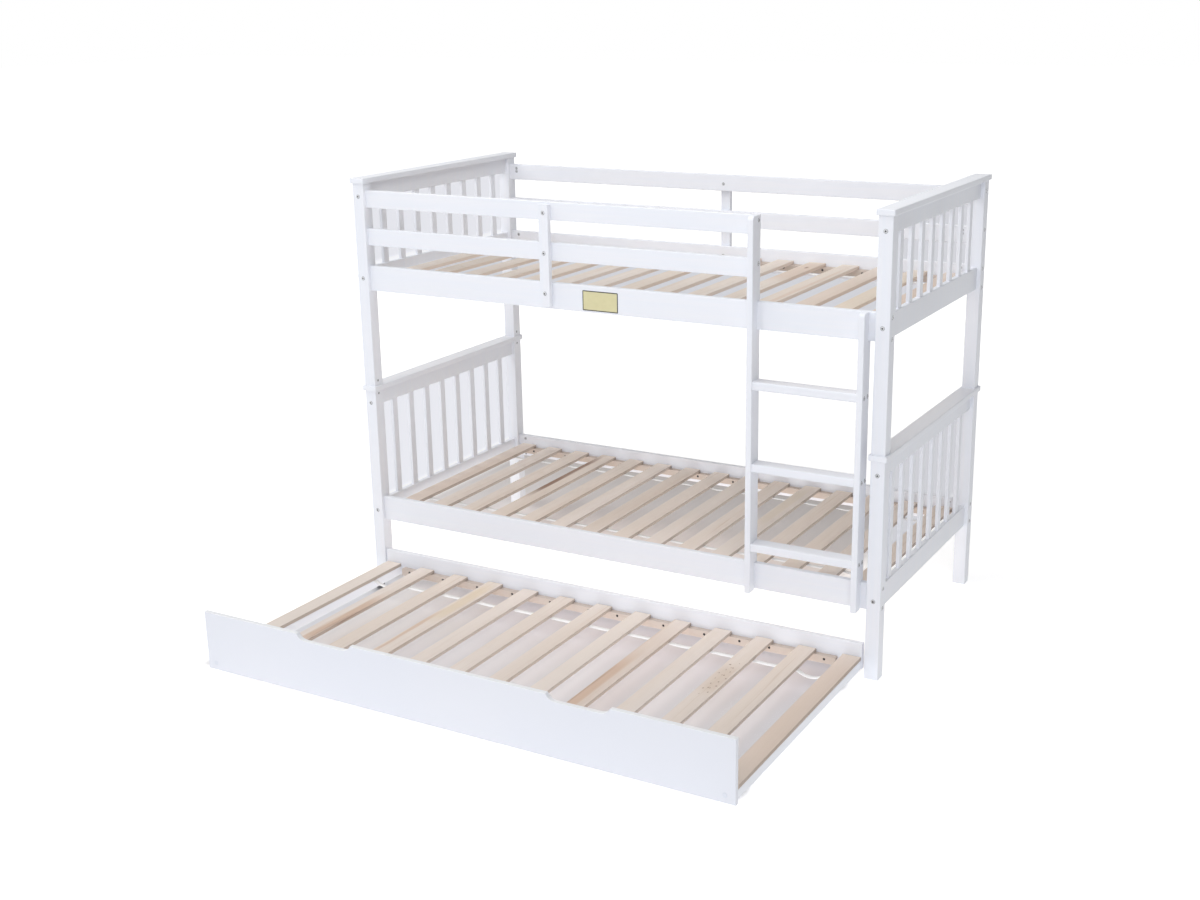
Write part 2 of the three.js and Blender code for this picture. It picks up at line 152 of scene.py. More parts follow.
def named_value(tree, name):
    """A value that the mesh carries, such as a slat's number"""
    return add_node(tree, "ShaderNodeAttribute", attribute_name=name).outputs["Fac"]


def facing(tree, axis):
    """1 or -1 where a face looks along the named axis, 0 where it lies along it"""
    normal = add_node(tree, "ShaderNodeTexCoord").outputs["Normal"]
    return add_node(tree, "ShaderNodeSeparateXYZ", {0: normal}).outputs[axis.upper()]


def new_material(name):
    """An empty material: its tree, its Principled shader and the object coordinates"""
    material = bpy.data.materials.new(name)
    material.use_nodes = True
    tree = material.node_tree
    tree.nodes.clear()
    shader = add_node(tree, "ShaderNodeBsdfPrincipled")
    add_node(tree, "ShaderNodeOutputMaterial", {"Surface": shader.outputs[0]})
    place = add_node(tree, "ShaderNodeTexCoord").outputs["Object"]
    return material, tree, shader, place


def set_shader(tree, shader, colour, roughness, height=None, bump=0.2, depth=0.5 * MM, **others):
    """Feed the shader. depth is the height of the bump, and others are named as the shader's own inputs."""
    inputs = {"Base Color": colour, "Roughness": roughness}
    if height is not None:
        relief = {"Strength": bump, "Distance": depth, "Height": height}
        inputs["Normal"] = add_node(tree, "ShaderNodeBump", relief).outputs[0]
    for name, value in others.items():
        inputs[name.replace("_", " ")] = value
    for name, value in inputs.items():
        if isinstance(value, bpy.types.NodeSocket):
            tree.links.new(value, shader.inputs[name])
        else:
            shader.inputs[name].default_value = value


# Finishes

AXES = "xyz"
PAINT_COOL = (0.822, 0.845, 0.902, 1.0)
PAINT_WARM = (0.85, 0.858, 0.898, 1.0)
# The front panel's colours: the paint darkened by painted shade, and a painted highlight for its upward faces
LACQUER_SHADED_COOL = (0.735, 0.752, 0.81, 1.0)
LACQUER_SHADED_WARM = (0.75, 0.762, 0.813, 1.0)
LACQUER_PAINTED_TOP_HIGHLIGHT = (0.87, 0.88, 0.90, 1.0)


def along_grain(axis, along, across):
    """Noise scales for wood that runs along the named axis"""
    scales = [across, across, across]
    scales[AXES.index(axis)] = along
    return tuple(scales)


def satin_paint(axis):
    """Smooth satin paint over pine that runs along the named axis. The grain just shows through."""
    material, tree, shader, place = new_material("satin_paint_" + axis)
    grain = noise(tree, stretched(tree, place, along_grain(axis, 1.2, 34.0)), 2.2, 4.0, 0.55, 0.4)
    fibre = noise(tree, stretched(tree, place, along_grain(axis, 6.0, 420.0)), 1.0, 2.0, 0.6)
    patch = noise(tree, place, 2.6, 2.0)
    grain_tint = spread(tree, grain, 0.35, 0.7, 0.0, 0.6)
    patch_tint = spread(tree, patch, 0.3, 0.7, 0.0, 0.4)
    colour = blend_colours(tree, calc(tree, "ADD", grain_tint, patch_tint), PAINT_COOL, PAINT_WARM)
    roughness = spread(tree, patch, 0.25, 0.75, 0.34, 0.46)
    height = calc(tree, "ADD", calc(tree, "MULTIPLY", grain, 0.7), calc(tree, "MULTIPLY", fibre, 0.3))
    set_shader(tree, shader, colour, roughness, height, bump=0.16, depth=0.6 * MM)
    return material


def panel_lacquer():
    """Smooth lacquer of the trundle's front panel, which shows no grain. Its colour is darker than the satin
    paint by painted shade, and its upward faces carry a painted highlight.
    """
    material, tree, shader, place = new_material("panel_lacquer")
    patch = noise(tree, place, 1.8, 2.0)
    peel = noise(tree, place, 420.0, 2.0)
    colour = blend_colours(tree, spread(tree, patch, 0.3, 0.7), LACQUER_SHADED_COOL, LACQUER_SHADED_WARM)
    # Painted highlight on the upward faces
    colour = blend_colours(tree, spread(tree, facing(tree, "z"), 0.3, 0.9), colour, LACQUER_PAINTED_TOP_HIGHLIGHT)
    roughness = spread(tree, patch, 0.25, 0.75, 0.36, 0.46)
    set_shader(tree, shader, colour, roughness, peel, bump=0.05, depth=0.2 * MM)
    return material


PINE_PALE = (0.80, 0.722, 0.66, 1.0)
PINE_WARM = (0.73, 0.618, 0.515, 1.0)
PINE_LINE = (0.58, 0.45, 0.34, 1.0)
PINE_KNOT = (0.27, 0.15, 0.09, 1.0)
LEDGER_PAINTED_SHADE = (0.69, 0.66, 0.65, 1.0)
BROWN_STREAK = (0.26, 0.14, 0.09, 1.0)
RED_STREAK = (0.62, 0.45, 0.34, 1.0)
YELLOW_STREAK = (0.70, 0.56, 0.36, 1.0)


def pine_figure(tree, vector, axis, tone):
    """Colour, rings and height of planed pine: pale sweeps, growth rings, fine fibre and a few knots"""
    sweep = noise(tree, stretched(tree, vector, along_grain(axis, 0.5, 7.0)), 1.6, 2.0, 0.5, 0.3)
    rings = noise(tree, stretched(tree, vector, along_grain(axis, 0.55, 26.0)), 2.4, 5.0, 0.62, 0.9)
    fibre = noise(tree, stretched(tree, vector, along_grain(axis, 9.0, 520.0)), 1.0, 2.0, 0.6)
    colour = blend_colours(tree, spread(tree, sweep, 0.3, 0.75, 0.0, 0.5), PINE_PALE, PINE_WARM)
    colour = blend_colours(tree, spread(tree, tone, 0.25, 1.0, 0.0, 0.45), colour, PINE_WARM)
    colour = blend_colours(tree, spread(tree, rings, 0.56, 0.74, 0.0, 0.5), colour, PINE_LINE)
    colour = blend_colours(tree, spread(tree, fibre, 0.45, 0.8, 0.0, 0.18), colour, PINE_LINE)
    warped = stretched(tree, vector, along_grain(axis, 0.55, 1.0))
    from_knot = add_node(tree, "ShaderNodeTexVoronoi", {"Vector": warped, "Scale": 3.4}).outputs["Distance"]
    knot = spread(tree, from_knot, 0.008, 0.022, 1.0, 0.0)
    halo = spread(tree, from_knot, 0.02, 0.06, 0.35, 0.0)
    colour = blend_colours(tree, halo, colour, PINE_LINE)
    colour = blend_colours(tree, knot, colour, PINE_KNOT)
    height = calc(tree, "ADD", calc(tree, "MULTIPLY", rings, 0.4), calc(tree, "MULTIPLY", fibre, 0.6))
    return colour, rings, height


def bare_pine(name, axis):
    """Planed pine that runs along the named axis, a little darker than the slats by painted shade, as it lies
    under them
    """
    material, tree, shader, place = new_material(name)
    tone = noise(tree, place, 0.8, 1.0)
    colour, rings, height = pine_figure(tree, place, axis, tone)
    # Painted shade for the ledgers under the slats
    colour = blend_colours(tree, 1.0, colour, LEDGER_PAINTED_SHADE, "MULTIPLY")
    roughness = spread(tree, rings, 0.3, 0.8, 0.6, 0.75)
    set_shader(tree, shader, colour, roughness, height, bump=0.35, depth=0.6 * MM)
    return material


SLAT_APART = 1.37


def slat_pine(name, first, pitch, marks, painted_light_tint, side_painted_shade):
    """Pine for a roll of slats. Each slat has its own figure and tone, SLAT_APART from the next one's in
    the pattern, and marks colours some of them. The whole roll's colour is multiplied by painted light or
    shade set for the roll, and the long side faces are darkened by painted shade set for the roll.

    A mark is a slat's number, the Y of its middle, its reach along Y, its place and width across the slat,
    its colour and its strength.
    """
    material, tree, shader, place = new_material(name)
    number = named_value(tree, "slat")
    shift = calc(tree, "MULTIPLY", number, SLAT_APART)
    apart = combine(tree, 0.0, shift, shift)
    vector = add_node(tree, "ShaderNodeVectorMath", {0: place, 1: apart}, operation="ADD").outputs[0]
    colour, rings, height = pine_figure(tree, vector, "y", named_value(tree, "tone"))
    spot = add_node(tree, "ShaderNodeSeparateXYZ", {0: place})
    middle = calc(tree, "MULTIPLY_ADD", number, pitch, first)
    across = calc(tree, "SUBTRACT", spot.outputs["X"], middle)
    ragged = calc(tree, "MULTIPLY_ADD", calc(tree, "SUBTRACT", rings, 0.5), 0.03, across)
    # Painted light or shade over the whole roll
    colour = blend_colours(tree, 1.0, colour, painted_light_tint, "MULTIPLY")
    for slat, y, reach, side, width, stain, strength in marks:
        mask = hump(tree, number, float(slat), 0.2, 0.1)
        mask = calc(tree, "MULTIPLY", mask, hump(tree, spot.outputs["Y"], y, 0.4 * reach, 0.6 * reach))
        mask = calc(tree, "MULTIPLY", mask, hump(tree, ragged, side, 0.4 * width, 0.6 * width))
        colour = blend_colours(tree, calc(tree, "MULTIPLY", mask, strength), colour, stain)
    # Painted shade on the long side faces
    side_faces = spread(tree, calc(tree, "ABSOLUTE", facing(tree, "x")), 0.5, 0.85)
    shade = (side_painted_shade, 0.95 * side_painted_shade, 0.92 * side_painted_shade, 1.0)
    colour = blend_colours(tree, side_faces, colour, shade, "MULTIPLY")
    roughness = spread(tree, rings, 0.3, 0.8, 0.6, 0.75)
    set_shader(tree, shader, colour, roughness, height, bump=0.35, depth=0.6 * MM)
    return material


def webbing():
    """White woven strap"""
    material, tree, shader, place = new_material("webbing")
    warp = add_node(tree, "ShaderNodeTexWave", {"Vector": place, "Scale": 190.0}, bands_direction="Y")
    weft = add_node(tree, "ShaderNodeTexWave", {"Vector": place, "Scale": 260.0}, bands_direction="X")
    weave = calc(tree, "MULTIPLY", warp.outputs["Fac"], weft.outputs["Fac"])
    colour = blend_colours(tree, weave, (0.95, 0.95, 0.95, 1.0), (0.99, 0.99, 0.99, 1.0))
    set_shader(tree, shader, colour, 0.85, weave, bump=0.25, depth=0.3 * MM)
    return material


# Painted shade for recesses in steel
HOLLOW_PAINTED_SHADE = (0.03, 0.03, 0.035, 1.0)


def zinc(name, light, dark):
    """Plated steel. Recesses, such as a socket, are darkened by painted shade as far as the mesh marks them.
    """
    material, tree, shader, place = new_material(name)
    mottle = noise(tree, place, 160.0, 3.0, 0.6)
    brushed = noise(tree, stretched(tree, place, (60.0, 900.0, 900.0)), 1.0, 2.0)
    colour = blend_colours(tree, mottle, dark, light)
    colour = blend_colours(tree, named_value(tree, "painted_recess_shade"), colour, HOLLOW_PAINTED_SHADE)
    roughness = spread(tree, mottle, 0.3, 0.7, 0.28, 0.45)
    set_shader(tree, shader, colour, roughness, brushed, bump=0.1, depth=0.2 * MM, Metallic=0.85)
    return material


RUBBED_PLASTIC = (0.2, 0.2, 0.2, 1.0)
BLACK_PLASTIC = (0.08, 0.08, 0.088, 1.0)
DUST = (0.38, 0.37, 0.36, 1.0)


def wheel_plastic():
    """Matt black plastic, dusty and scuffed on the tread"""
    material, tree, shader, place = new_material("wheel_plastic")
    scuff = noise(tree, stretched(tree, place, (30.0, 220.0, 220.0)), 1.0, 4.0, 0.65)
    dust = noise(tree, place, 40.0, 3.0, 0.6)
    colour = blend_colours(tree, spread(tree, scuff, 0.5, 0.8, 0.0, 0.5), BLACK_PLASTIC, RUBBED_PLASTIC)
    colour = blend_colours(tree, spread(tree, dust, 0.4, 0.8, 0.0, 0.5), colour, DUST)
    roughness = spread(tree, scuff, 0.3, 0.8, 0.45, 0.7)
    set_shader(tree, shader, colour, roughness, scuff, bump=0.2, depth=0.3 * MM)
    return material


PLATE_BORDER = 3.4 * MM
BORDER_BLUR = 0.4 * MM
BORDER_BLACK = (0.02, 0.02, 0.018, 1.0)
FILM_DEEP = (0.64, 0.59, 0.34, 1.0)
FILM_PALE = (0.71, 0.66, 0.40, 1.0)


def plate_film(middle, half_width, half_height):
    """Pale yellow film with a thin black edge, centred on the plate"""
    material, tree, shader, place = new_material("plate_film")
    centred = stretched(tree, place, (1.0, 1.0, 1.0), tuple(-v for v in middle))
    spot = add_node(tree, "ShaderNodeSeparateXYZ", {0: centred})
    inside = calc(
        tree, "MULTIPLY",
        hump(tree, spot.outputs["X"], 0.0, half_width - PLATE_BORDER, BORDER_BLUR),
        hump(tree, spot.outputs["Z"], 0.0, half_height - PLATE_BORDER, BORDER_BLUR))
    mottle = noise(tree, place, 70.0, 3.0)
    colour = blend_colours(tree, inside, BORDER_BLACK, blend_colours(tree, mottle, FILM_DEEP, FILM_PALE))
    roughness = spread(tree, mottle, 0.3, 0.7, 0.3, 0.42)
    set_shader(tree, shader, colour, roughness, mottle, bump=0.05, depth=0.2 * MM)
    return material


def cap_plastic():
    """Pale grey plastic of the screw covers"""
    material, tree, shader, place = new_material("cap_plastic")
    mottle = noise(tree, place, 120.0, 3.0)
    colour = blend_colours(tree, mottle, (0.66, 0.69, 0.76, 1.0), (0.72, 0.74, 0.80, 1.0))
    roughness = spread(tree, mottle, 0.3, 0.7, 0.4, 0.5)
    set_shader(tree, shader, colour, roughness, mottle, bump=0.05, depth=0.2 * MM)
    return material


# The floor and the light

PLAIN_WHITE = (1.0, 1.0, 1.0, 1.0)
WORLD_LIGHT = 0.235
LIGHT_AIM = Vector((0.0, 0.0, 0.7))

# Each lamp has its place, width, power and colour

LAMPS = {
    "front_softbox": ((8.0, -18.0, 3.0), 8.0, 440.0, (0.95, 1.0, 1.07)),
    "high_left_softbox": ((-3.0, -6.5, 6.5), 4.0, 134.0, (0.97, 1.0, 1.05)),
    "high_right_softbox": ((4.0, -6.5, 6.5), 4.0, 156.0, (1.0, 1.0, 1.02)),
    "left_softbox": ((-5.0, -1.5, 6.0), 4.0, 176.0, (1.0, 0.99, 0.97)),
    "overhead_softbox": ((0.4, -0.3, 3.5), 1.6, 20.0, (1.0, 1.0, 1.0)),
}


def seen_directly(tree):
    """1 for what the camera sees, and what shows in a shiny surface, 0 for light on its way elsewhere"""
    path = add_node(tree, "ShaderNodeLightPath")
    return calc(tree, "MAXIMUM", path.outputs["Is Camera Ray"], path.outputs["Is Glossy Ray"])


def set_light():
    """A white surround, which lights the bed less than it shows, and soft lamps"""
    world = bpy.data.worlds.new("studio")
    world.use_nodes = True
    tree = world.node_tree
    tree.nodes.clear()
    strength = blend(tree, seen_directly(tree), WORLD_LIGHT, 1.0)
    light = add_node(tree, "ShaderNodeBackground", {"Color": PLAIN_WHITE, "Strength": strength})
    add_node(tree, "ShaderNodeOutputWorld", {"Surface": light.outputs[0]})
    bpy.context.scene.world = world
    for name, (place, width, power, colour) in LAMPS.items():
        data = bpy.data.lights.new(name, "AREA")
        data.shape = "SQUARE"
        data.size = width
        data.energy = power
        data.color = colour
        lamp = new_object(name, data)
        lamp.location = place
        aim = LIGHT_AIM - Vector(place)
        lamp.rotation_euler = aim.to_track_quat("-Z", "Y").to_euler()


FLOOR_HALF = 40.0
FLOOR_DROP = 0.5 * MM
COVER_REACH = 0.5

# The floor's own light, as it lights the bed

FLOOR_BOUNCE = 0.56
BOUNCE_UNDER_BED = 0.56
BOUNCE_CENTRE = (-0.4, -1.0, 0.0)

# The floor's own light, as it is seen

UNDER_TRUNDLE_GLOW = 0.03
BEHIND_BED_GLOW = 0.06
LEFT_GAP_GLOW = 0.80
DECK_GAP_GLOW = 0.64
UPPER_RIGHT_GAP_GLOW = 0.66
LOWER_RIGHT_GAP_GLOW = 0.605

# Areas of the floor. Along an axis each has the places where it starts, is full, fades and ends.

# The trundle's painted shadow, the bed's painted shadow behind it, extra floor light under the bed, and pale
# grey painted shade past the upper deck
UNDER_TRUNDLE = ((-1.06, -1.0, 0.9, 0.938), (-0.935, -0.9, 0.0, 0.24))
BEHIND_BED = ((-1.43, -1.34, 0.5, 0.68), (0.56, 0.70, 1.62, 1.86))
UNDER_BED = ((-1.0, 0.1, 0.8, 0.95), (-0.95, -0.85, 0.8, 0.95))
PAST_UPPER_DECK = ((-5.3, -5.05, -0.88, -0.7), (4.9, 5.1, 7.05, 7.25))

# Areas seen through the end panels, which get pale grey painted shade: two stretches along X, and the slopes
# of the sight lines at their sides

PAST_LEFT_PANELS = ((-2.85, -2.55, -1.62, -1.5), (-8.8, -7.95, -5.6, -5.1), (1.216, 1.238, 1.503, 1.52))
PAST_RIGHT_PANELS = ((-2.42, -2.3, -0.86, -0.72), (0.19, 0.25, 0.62, 0.70), (2.80, 2.85, 3.41, 3.47))

FLOOR_WHITE = (0.83, 0.83, 0.835, 1.0)
# Dark base of the pale grey painted shade past the bed, lifted by its cool glow
FLOOR_PAST_BED = (0.12, 0.12, 0.125, 1.0)
# Colours of the painted shadows under the trundle and behind the bed
TRUNDLE_SHADE_FRONT = (0.65, 0.655, 0.69, 1.0)
TRUNDLE_SHADE_REAR = (0.61, 0.59, 0.615, 1.0)
TRUNDLE_SHADE_LEFT = (0.76, 0.755, 0.76, 1.0)
BED_SHADE_NEAR = (0.83, 0.785, 0.77, 1.0)
BED_SHADE_FAR = (0.70, 0.65, 0.63, 1.0)
COOL_GLOW = (0.93, 0.94, 1.0, 1.0)


def floor_area(tree, x, y, bounds):
    """1 inside an area of the floor"""
    return calc(tree, "MULTIPLY", within(tree, x, *bounds[0]), within(tree, y, *bounds[1]))


def past_panels(tree, x, sight, bounds):
    """1 where the floor is seen between the slats of the two end panels of one side"""
    near, far, slopes = bounds
    along = calc(tree, "MAXIMUM", within(tree, x, *near), within(tree, x, *far))
    return calc(tree, "MULTIPLY", along, within(tree, sight, *slopes))


def floor_material():
    """White, which takes the bed's shadow, with a painted shadow where the trundle stands over it and behind
    the bed.
    Away from the bed it fades to plain white, but it has a pale grey painted shade where the end panels and
    the upper slats are seen against it."""
    material, tree, shader, place = new_material("floor_white")
    spot = add_node(tree, "ShaderNodeSeparateXYZ", {0: place})
    x, y = spot.outputs["X"], spot.outputs["Y"]
    inputs = {"Distance": COVER_REACH}
    open_above = add_node(tree, "ShaderNodeAmbientOcclusion", inputs, samples=8).outputs["AO"]
    covered = spread(tree, open_above, 0.86, 0.98, 1.0, 0.0)
    # Painted shadows: under the trundle, only where something stands over the floor, and behind the bed
    under = calc(tree, "MULTIPLY", floor_area(tree, x, y, UNDER_TRUNDLE), covered)
    behind = floor_area(tree, x, y, BEHIND_BED)
    # Pale grey painted shade where the floor is seen past the upper deck and through the end panels
    past_deck = floor_area(tree, x, y, PAST_UPPER_DECK)
    away = calc(tree, "SUBTRACT", y, CAMERA_PLACE.y)
    sight = calc(tree, "DIVIDE", away, calc(tree, "SUBTRACT", CAMERA_PLACE.x, x))
    past_left = past_panels(tree, x, sight, PAST_LEFT_PANELS)
    past_right = past_panels(tree, x, sight, PAST_RIGHT_PANELS)

    far = add_node(tree, "ShaderNodeVectorMath", {0: place}, operation="LENGTH").outputs["Value"]
    right_glow = spread(tree, x, -0.6, 0.1, UPPER_RIGHT_GAP_GLOW, LOWER_RIGHT_GAP_GLOW)
    glow = spread(tree, far, 1.6, 6.0, 0.62, 1.0)
    for area, area_glow in (
        (under, UNDER_TRUNDLE_GLOW), (behind, BEHIND_BED_GLOW), (past_left, LEFT_GAP_GLOW),
        (past_deck, DECK_GAP_GLOW), (past_right, right_glow),
    ):
        glow = blend(tree, area, glow, area_glow)

    inputs = {0: place, 1: BOUNCE_CENTRE}
    around = add_node(tree, "ShaderNodeVectorMath", inputs, operation="DISTANCE").outputs["Value"]
    bounce = spread(tree, around, 1.8, 6.0, FLOOR_BOUNCE, 0.0)
    bounce = calc(tree, "MULTIPLY_ADD", floor_area(tree, x, y, UNDER_BED), BOUNCE_UNDER_BED, bounce)

    # The painted shadows' colours, then the painted grey past the bed
    shaded = blend_colours(tree, spread(tree, y, -0.45, -0.05), TRUNDLE_SHADE_FRONT, TRUNDLE_SHADE_REAR)
    shaded = blend_colours(tree, spread(tree, x, -0.95, -0.35), TRUNDLE_SHADE_LEFT, shaded)
    dusk = blend_colours(tree, spread(tree, y, 1.15, 1.6), BED_SHADE_NEAR, BED_SHADE_FAR)
    past = calc(tree, "MAXIMUM", calc(tree, "MAXIMUM", past_left, past_deck), past_right)
    colour = blend_colours(tree, under, FLOOR_WHITE, shaded)
    colour = blend_colours(tree, behind, colour, dusk)
    colour = blend_colours(tree, past, colour, FLOOR_PAST_BED)
    set_shader(
        tree, shader, colour, 0.9, Specular_IOR_Level=0.0,
        Emission_Color=blend_colours(tree, past, PLAIN_WHITE, COOL_GLOW),
        Emission_Strength=blend(tree, seen_directly(tree), bounce, glow))
    return material


def lay_floor():
    """A wide floor, a hair below the bed's feet"""
    half = FLOOR_HALF
    corners = [(-half, -half, 0.0), (half, -half, 0.0), (half, half, 0.0), (-half, half, 0.0)]
    mesh = bpy.data.meshes.new("floor")
    mesh.from_pydata(corners, [], [(0, 1, 2, 3)])
    mesh.materials.append(floor_material())
    floor = new_object("floor", mesh)
    floor.location.z = -FLOOR_DROP


# Dressing the CAD pieces

GRAIN_AXIS = {
    "post": "z", "guard_stile": "z", "ladder_stile": "z", "cap": "y", "end_panel": "z", "end_rail": "y",
    "side_rail": "x", "guard_board": "x", "rung": "x", "rear_panel": "x",
}


def dress(piece, material):
    """Give a piece this material alone"""
    piece.data.materials.clear()
    piece.data.materials.append(material)


def dress_cad(paints, ledger_pine, steel):
    for name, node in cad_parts.items():
        if name == "trundle_front_panel":
            dress(node, panel_lacquer())
        elif "ledger" in name:
            dress(node, ledger_pine)
        elif "pin" in name or "bracket" in name:
            dress(node, steel)
        else:
            for part, axis in GRAIN_AXIS.items():
                if part in name:
                    dress(node, paints[axis])


# Helpers for pieces that grow from a tree of geometry nodes

SOCKET_KINDS = {int: "NodeSocketInt", float: "NodeSocketFloat"}
NAMED_KINDS = {"material": "NodeSocketMaterial", "object": "NodeSocketObject"}


def new_tree(name, sizes):
    """An empty tree with named inputs. A text stands for a material or an object."""
    tree = bpy.data.node_groups.new(name, "GeometryNodeTree")
    tree.interface.new_socket("Geometry", in_out="INPUT", socket_type="NodeSocketGeometry")
    tree.interface.new_socket("Geometry", in_out="OUTPUT", socket_type="NodeSocketGeometry")
    for label, value in sizes.items():
        named = isinstance(value, str)
        kind = NAMED_KINDS[value] if named else SOCKET_KINDS[type(value)]
        socket = tree.interface.new_socket(label, in_out="INPUT", socket_type=kind)
        if not named:
            socket.default_value = value
    given = tree.nodes.new("NodeGroupInput").outputs
    result = tree.nodes.new("NodeGroupOutput").inputs[0]
    return tree, given, result


def finish_tree(tree, geometry, material, result):
    """Real geometry, no longer instances, with its material"""
    real = add_node(tree, "GeometryNodeRealizeInstances", {"Geometry": geometry}).outputs[0]
    dressed = add_node(tree, "GeometryNodeSetMaterial", {"Geometry": real, "Material": material}).outputs[0]
    tree.links.new(dressed, result)


def grow(name, tree, sizes, places=None):
    """Run a tree with the given sizes and keep what it makes as a plain mesh at the origin"""
    source = new_object(name + "_source", places or bpy.data.meshes.new(name + "_source"))
    modifier = source.modifiers.new("nodes", "NODES")
    modifier.node_group = tree
    for item in tree.interface.items_tree:
        if item.in_out == "INPUT" and item.name in sizes:
            modifier[item.identifier] = sizes[item.name]
    depsgraph = bpy.context.evaluated_depsgraph_get()
    mesh = bpy.data.meshes.new_from_object(
        source.evaluated_get(depsgraph), preserve_all_data_layers=True, depsgraph=depsgraph)
    bpy.data.objects.remove(source)
    mesh.name = name
    return new_object(name, mesh)


def chance(tree, low, high, number, seed):
    """A random value for each number, the same at each run"""
    inputs = {2: low, 3: high, "ID": number, "Seed": seed}
    return add_node(tree, "FunctionNodeRandomValue", inputs, data_type="FLOAT").outputs[1]


def keep_value(tree, geometry, name, value):
    """Store a value on the mesh, for the finish to read"""
    inputs = {"Geometry": geometry, "Name": name, "Value": value}
    settings = {"data_type": "FLOAT", "domain": "POINT"}
    return add_node(tree, "GeometryNodeStoreNamedAttribute", inputs, **settings).outputs[0]


def either_way(tree, size, number, seed):
    """A random value from minus size to size"""
    return chance(tree, calc(tree, "MULTIPLY", size, -1.0), size, number, seed)


# Slats on their straps

TONE_SEED_STEP = 7.0
TURN_SEED_STEP = 3.0
STEPS_BETWEEN_SLATS = 16


def slat_row_tree():
    """Slats side by side along X, each a bar along Y with eased edges, a little out of line"""
    tree, given, result = new_tree("slat_row", {
        "Count": 13, "Pitch": 0.15, "First X": 0.0, "Middle Y": 0.0, "Base Z": 0.0, "Width": 0.062,
        "Thickness": 0.012, "Length": 0.9, "Edge": 0.0015, "Stray": 0.001, "Turn": 0.002, "Seed": 1,
        "Material": "material",
    })
    half = calc(tree, "MULTIPLY", given["Thickness"], 0.5)
    start = combine(tree, given["First X"], given["Middle Y"], calc(tree, "ADD", given["Base Z"], half))
    inputs = {"Count": given["Count"], "Start Location": start, "Offset": combine(tree, given["Pitch"])}
    row = add_node(tree, "GeometryNodeMeshLine", inputs, mode="OFFSET").outputs[0]
    number = add_node(tree, "GeometryNodeInputIndex").outputs[0]
    stray = either_way(tree, given["Stray"], number, given["Seed"])
    inputs = {"Geometry": row, "Offset": combine(tree, stray)}
    row = add_node(tree, "GeometryNodeSetPosition", inputs).outputs[0]
    row = keep_value(tree, row, "slat", calc(tree, "MULTIPLY", number, 1.0))
    tone_seed = calc(tree, "ADD", given["Seed"], TONE_SEED_STEP)
    row = keep_value(tree, row, "tone", chance(tree, 0.0, 1.0, number, tone_seed))
    inputs = {"Width": given["Width"], "Height": given["Thickness"]}
    section = add_node(tree, "GeometryNodeCurvePrimitiveQuadrilateral", inputs).outputs[0]
    inputs = {"Curve": section, "Count": 3, "Radius": given["Edge"]}
    section = add_node(tree, "GeometryNodeFilletCurve", inputs, mode="POLY").outputs[0]
    reach = calc(tree, "MULTIPLY", given["Length"], 0.5)
    start = combine(tree, 0.0, calc(tree, "MULTIPLY", reach, -1.0))
    inputs = {"Start": start, "End": combine(tree, 0.0, reach)}
    spine = add_node(tree, "GeometryNodeCurvePrimitiveLine", inputs).outputs[0]
    spine = add_node(tree, "GeometryNodeSetCurveNormal", {"Curve": spine}, mode="Z_UP").outputs[0]
    inputs = {"Curve": spine, "Profile Curve": section, "Fill Caps": True}
    slat = add_node(tree, "GeometryNodeCurveToMesh", inputs).outputs[0]
    turn = either_way(tree, given["Turn"], number, calc(tree, "ADD", given["Seed"], TURN_SEED_STEP))
    inputs = {"Points": row, "Instance": slat, "Rotation": combine(tree, 0.0, 0.0, turn)}
    slats = add_node(tree, "GeometryNodeInstanceOnPoints", inputs).outputs[0]
    finish_tree(tree, slats, given["Material"], result)
    return tree


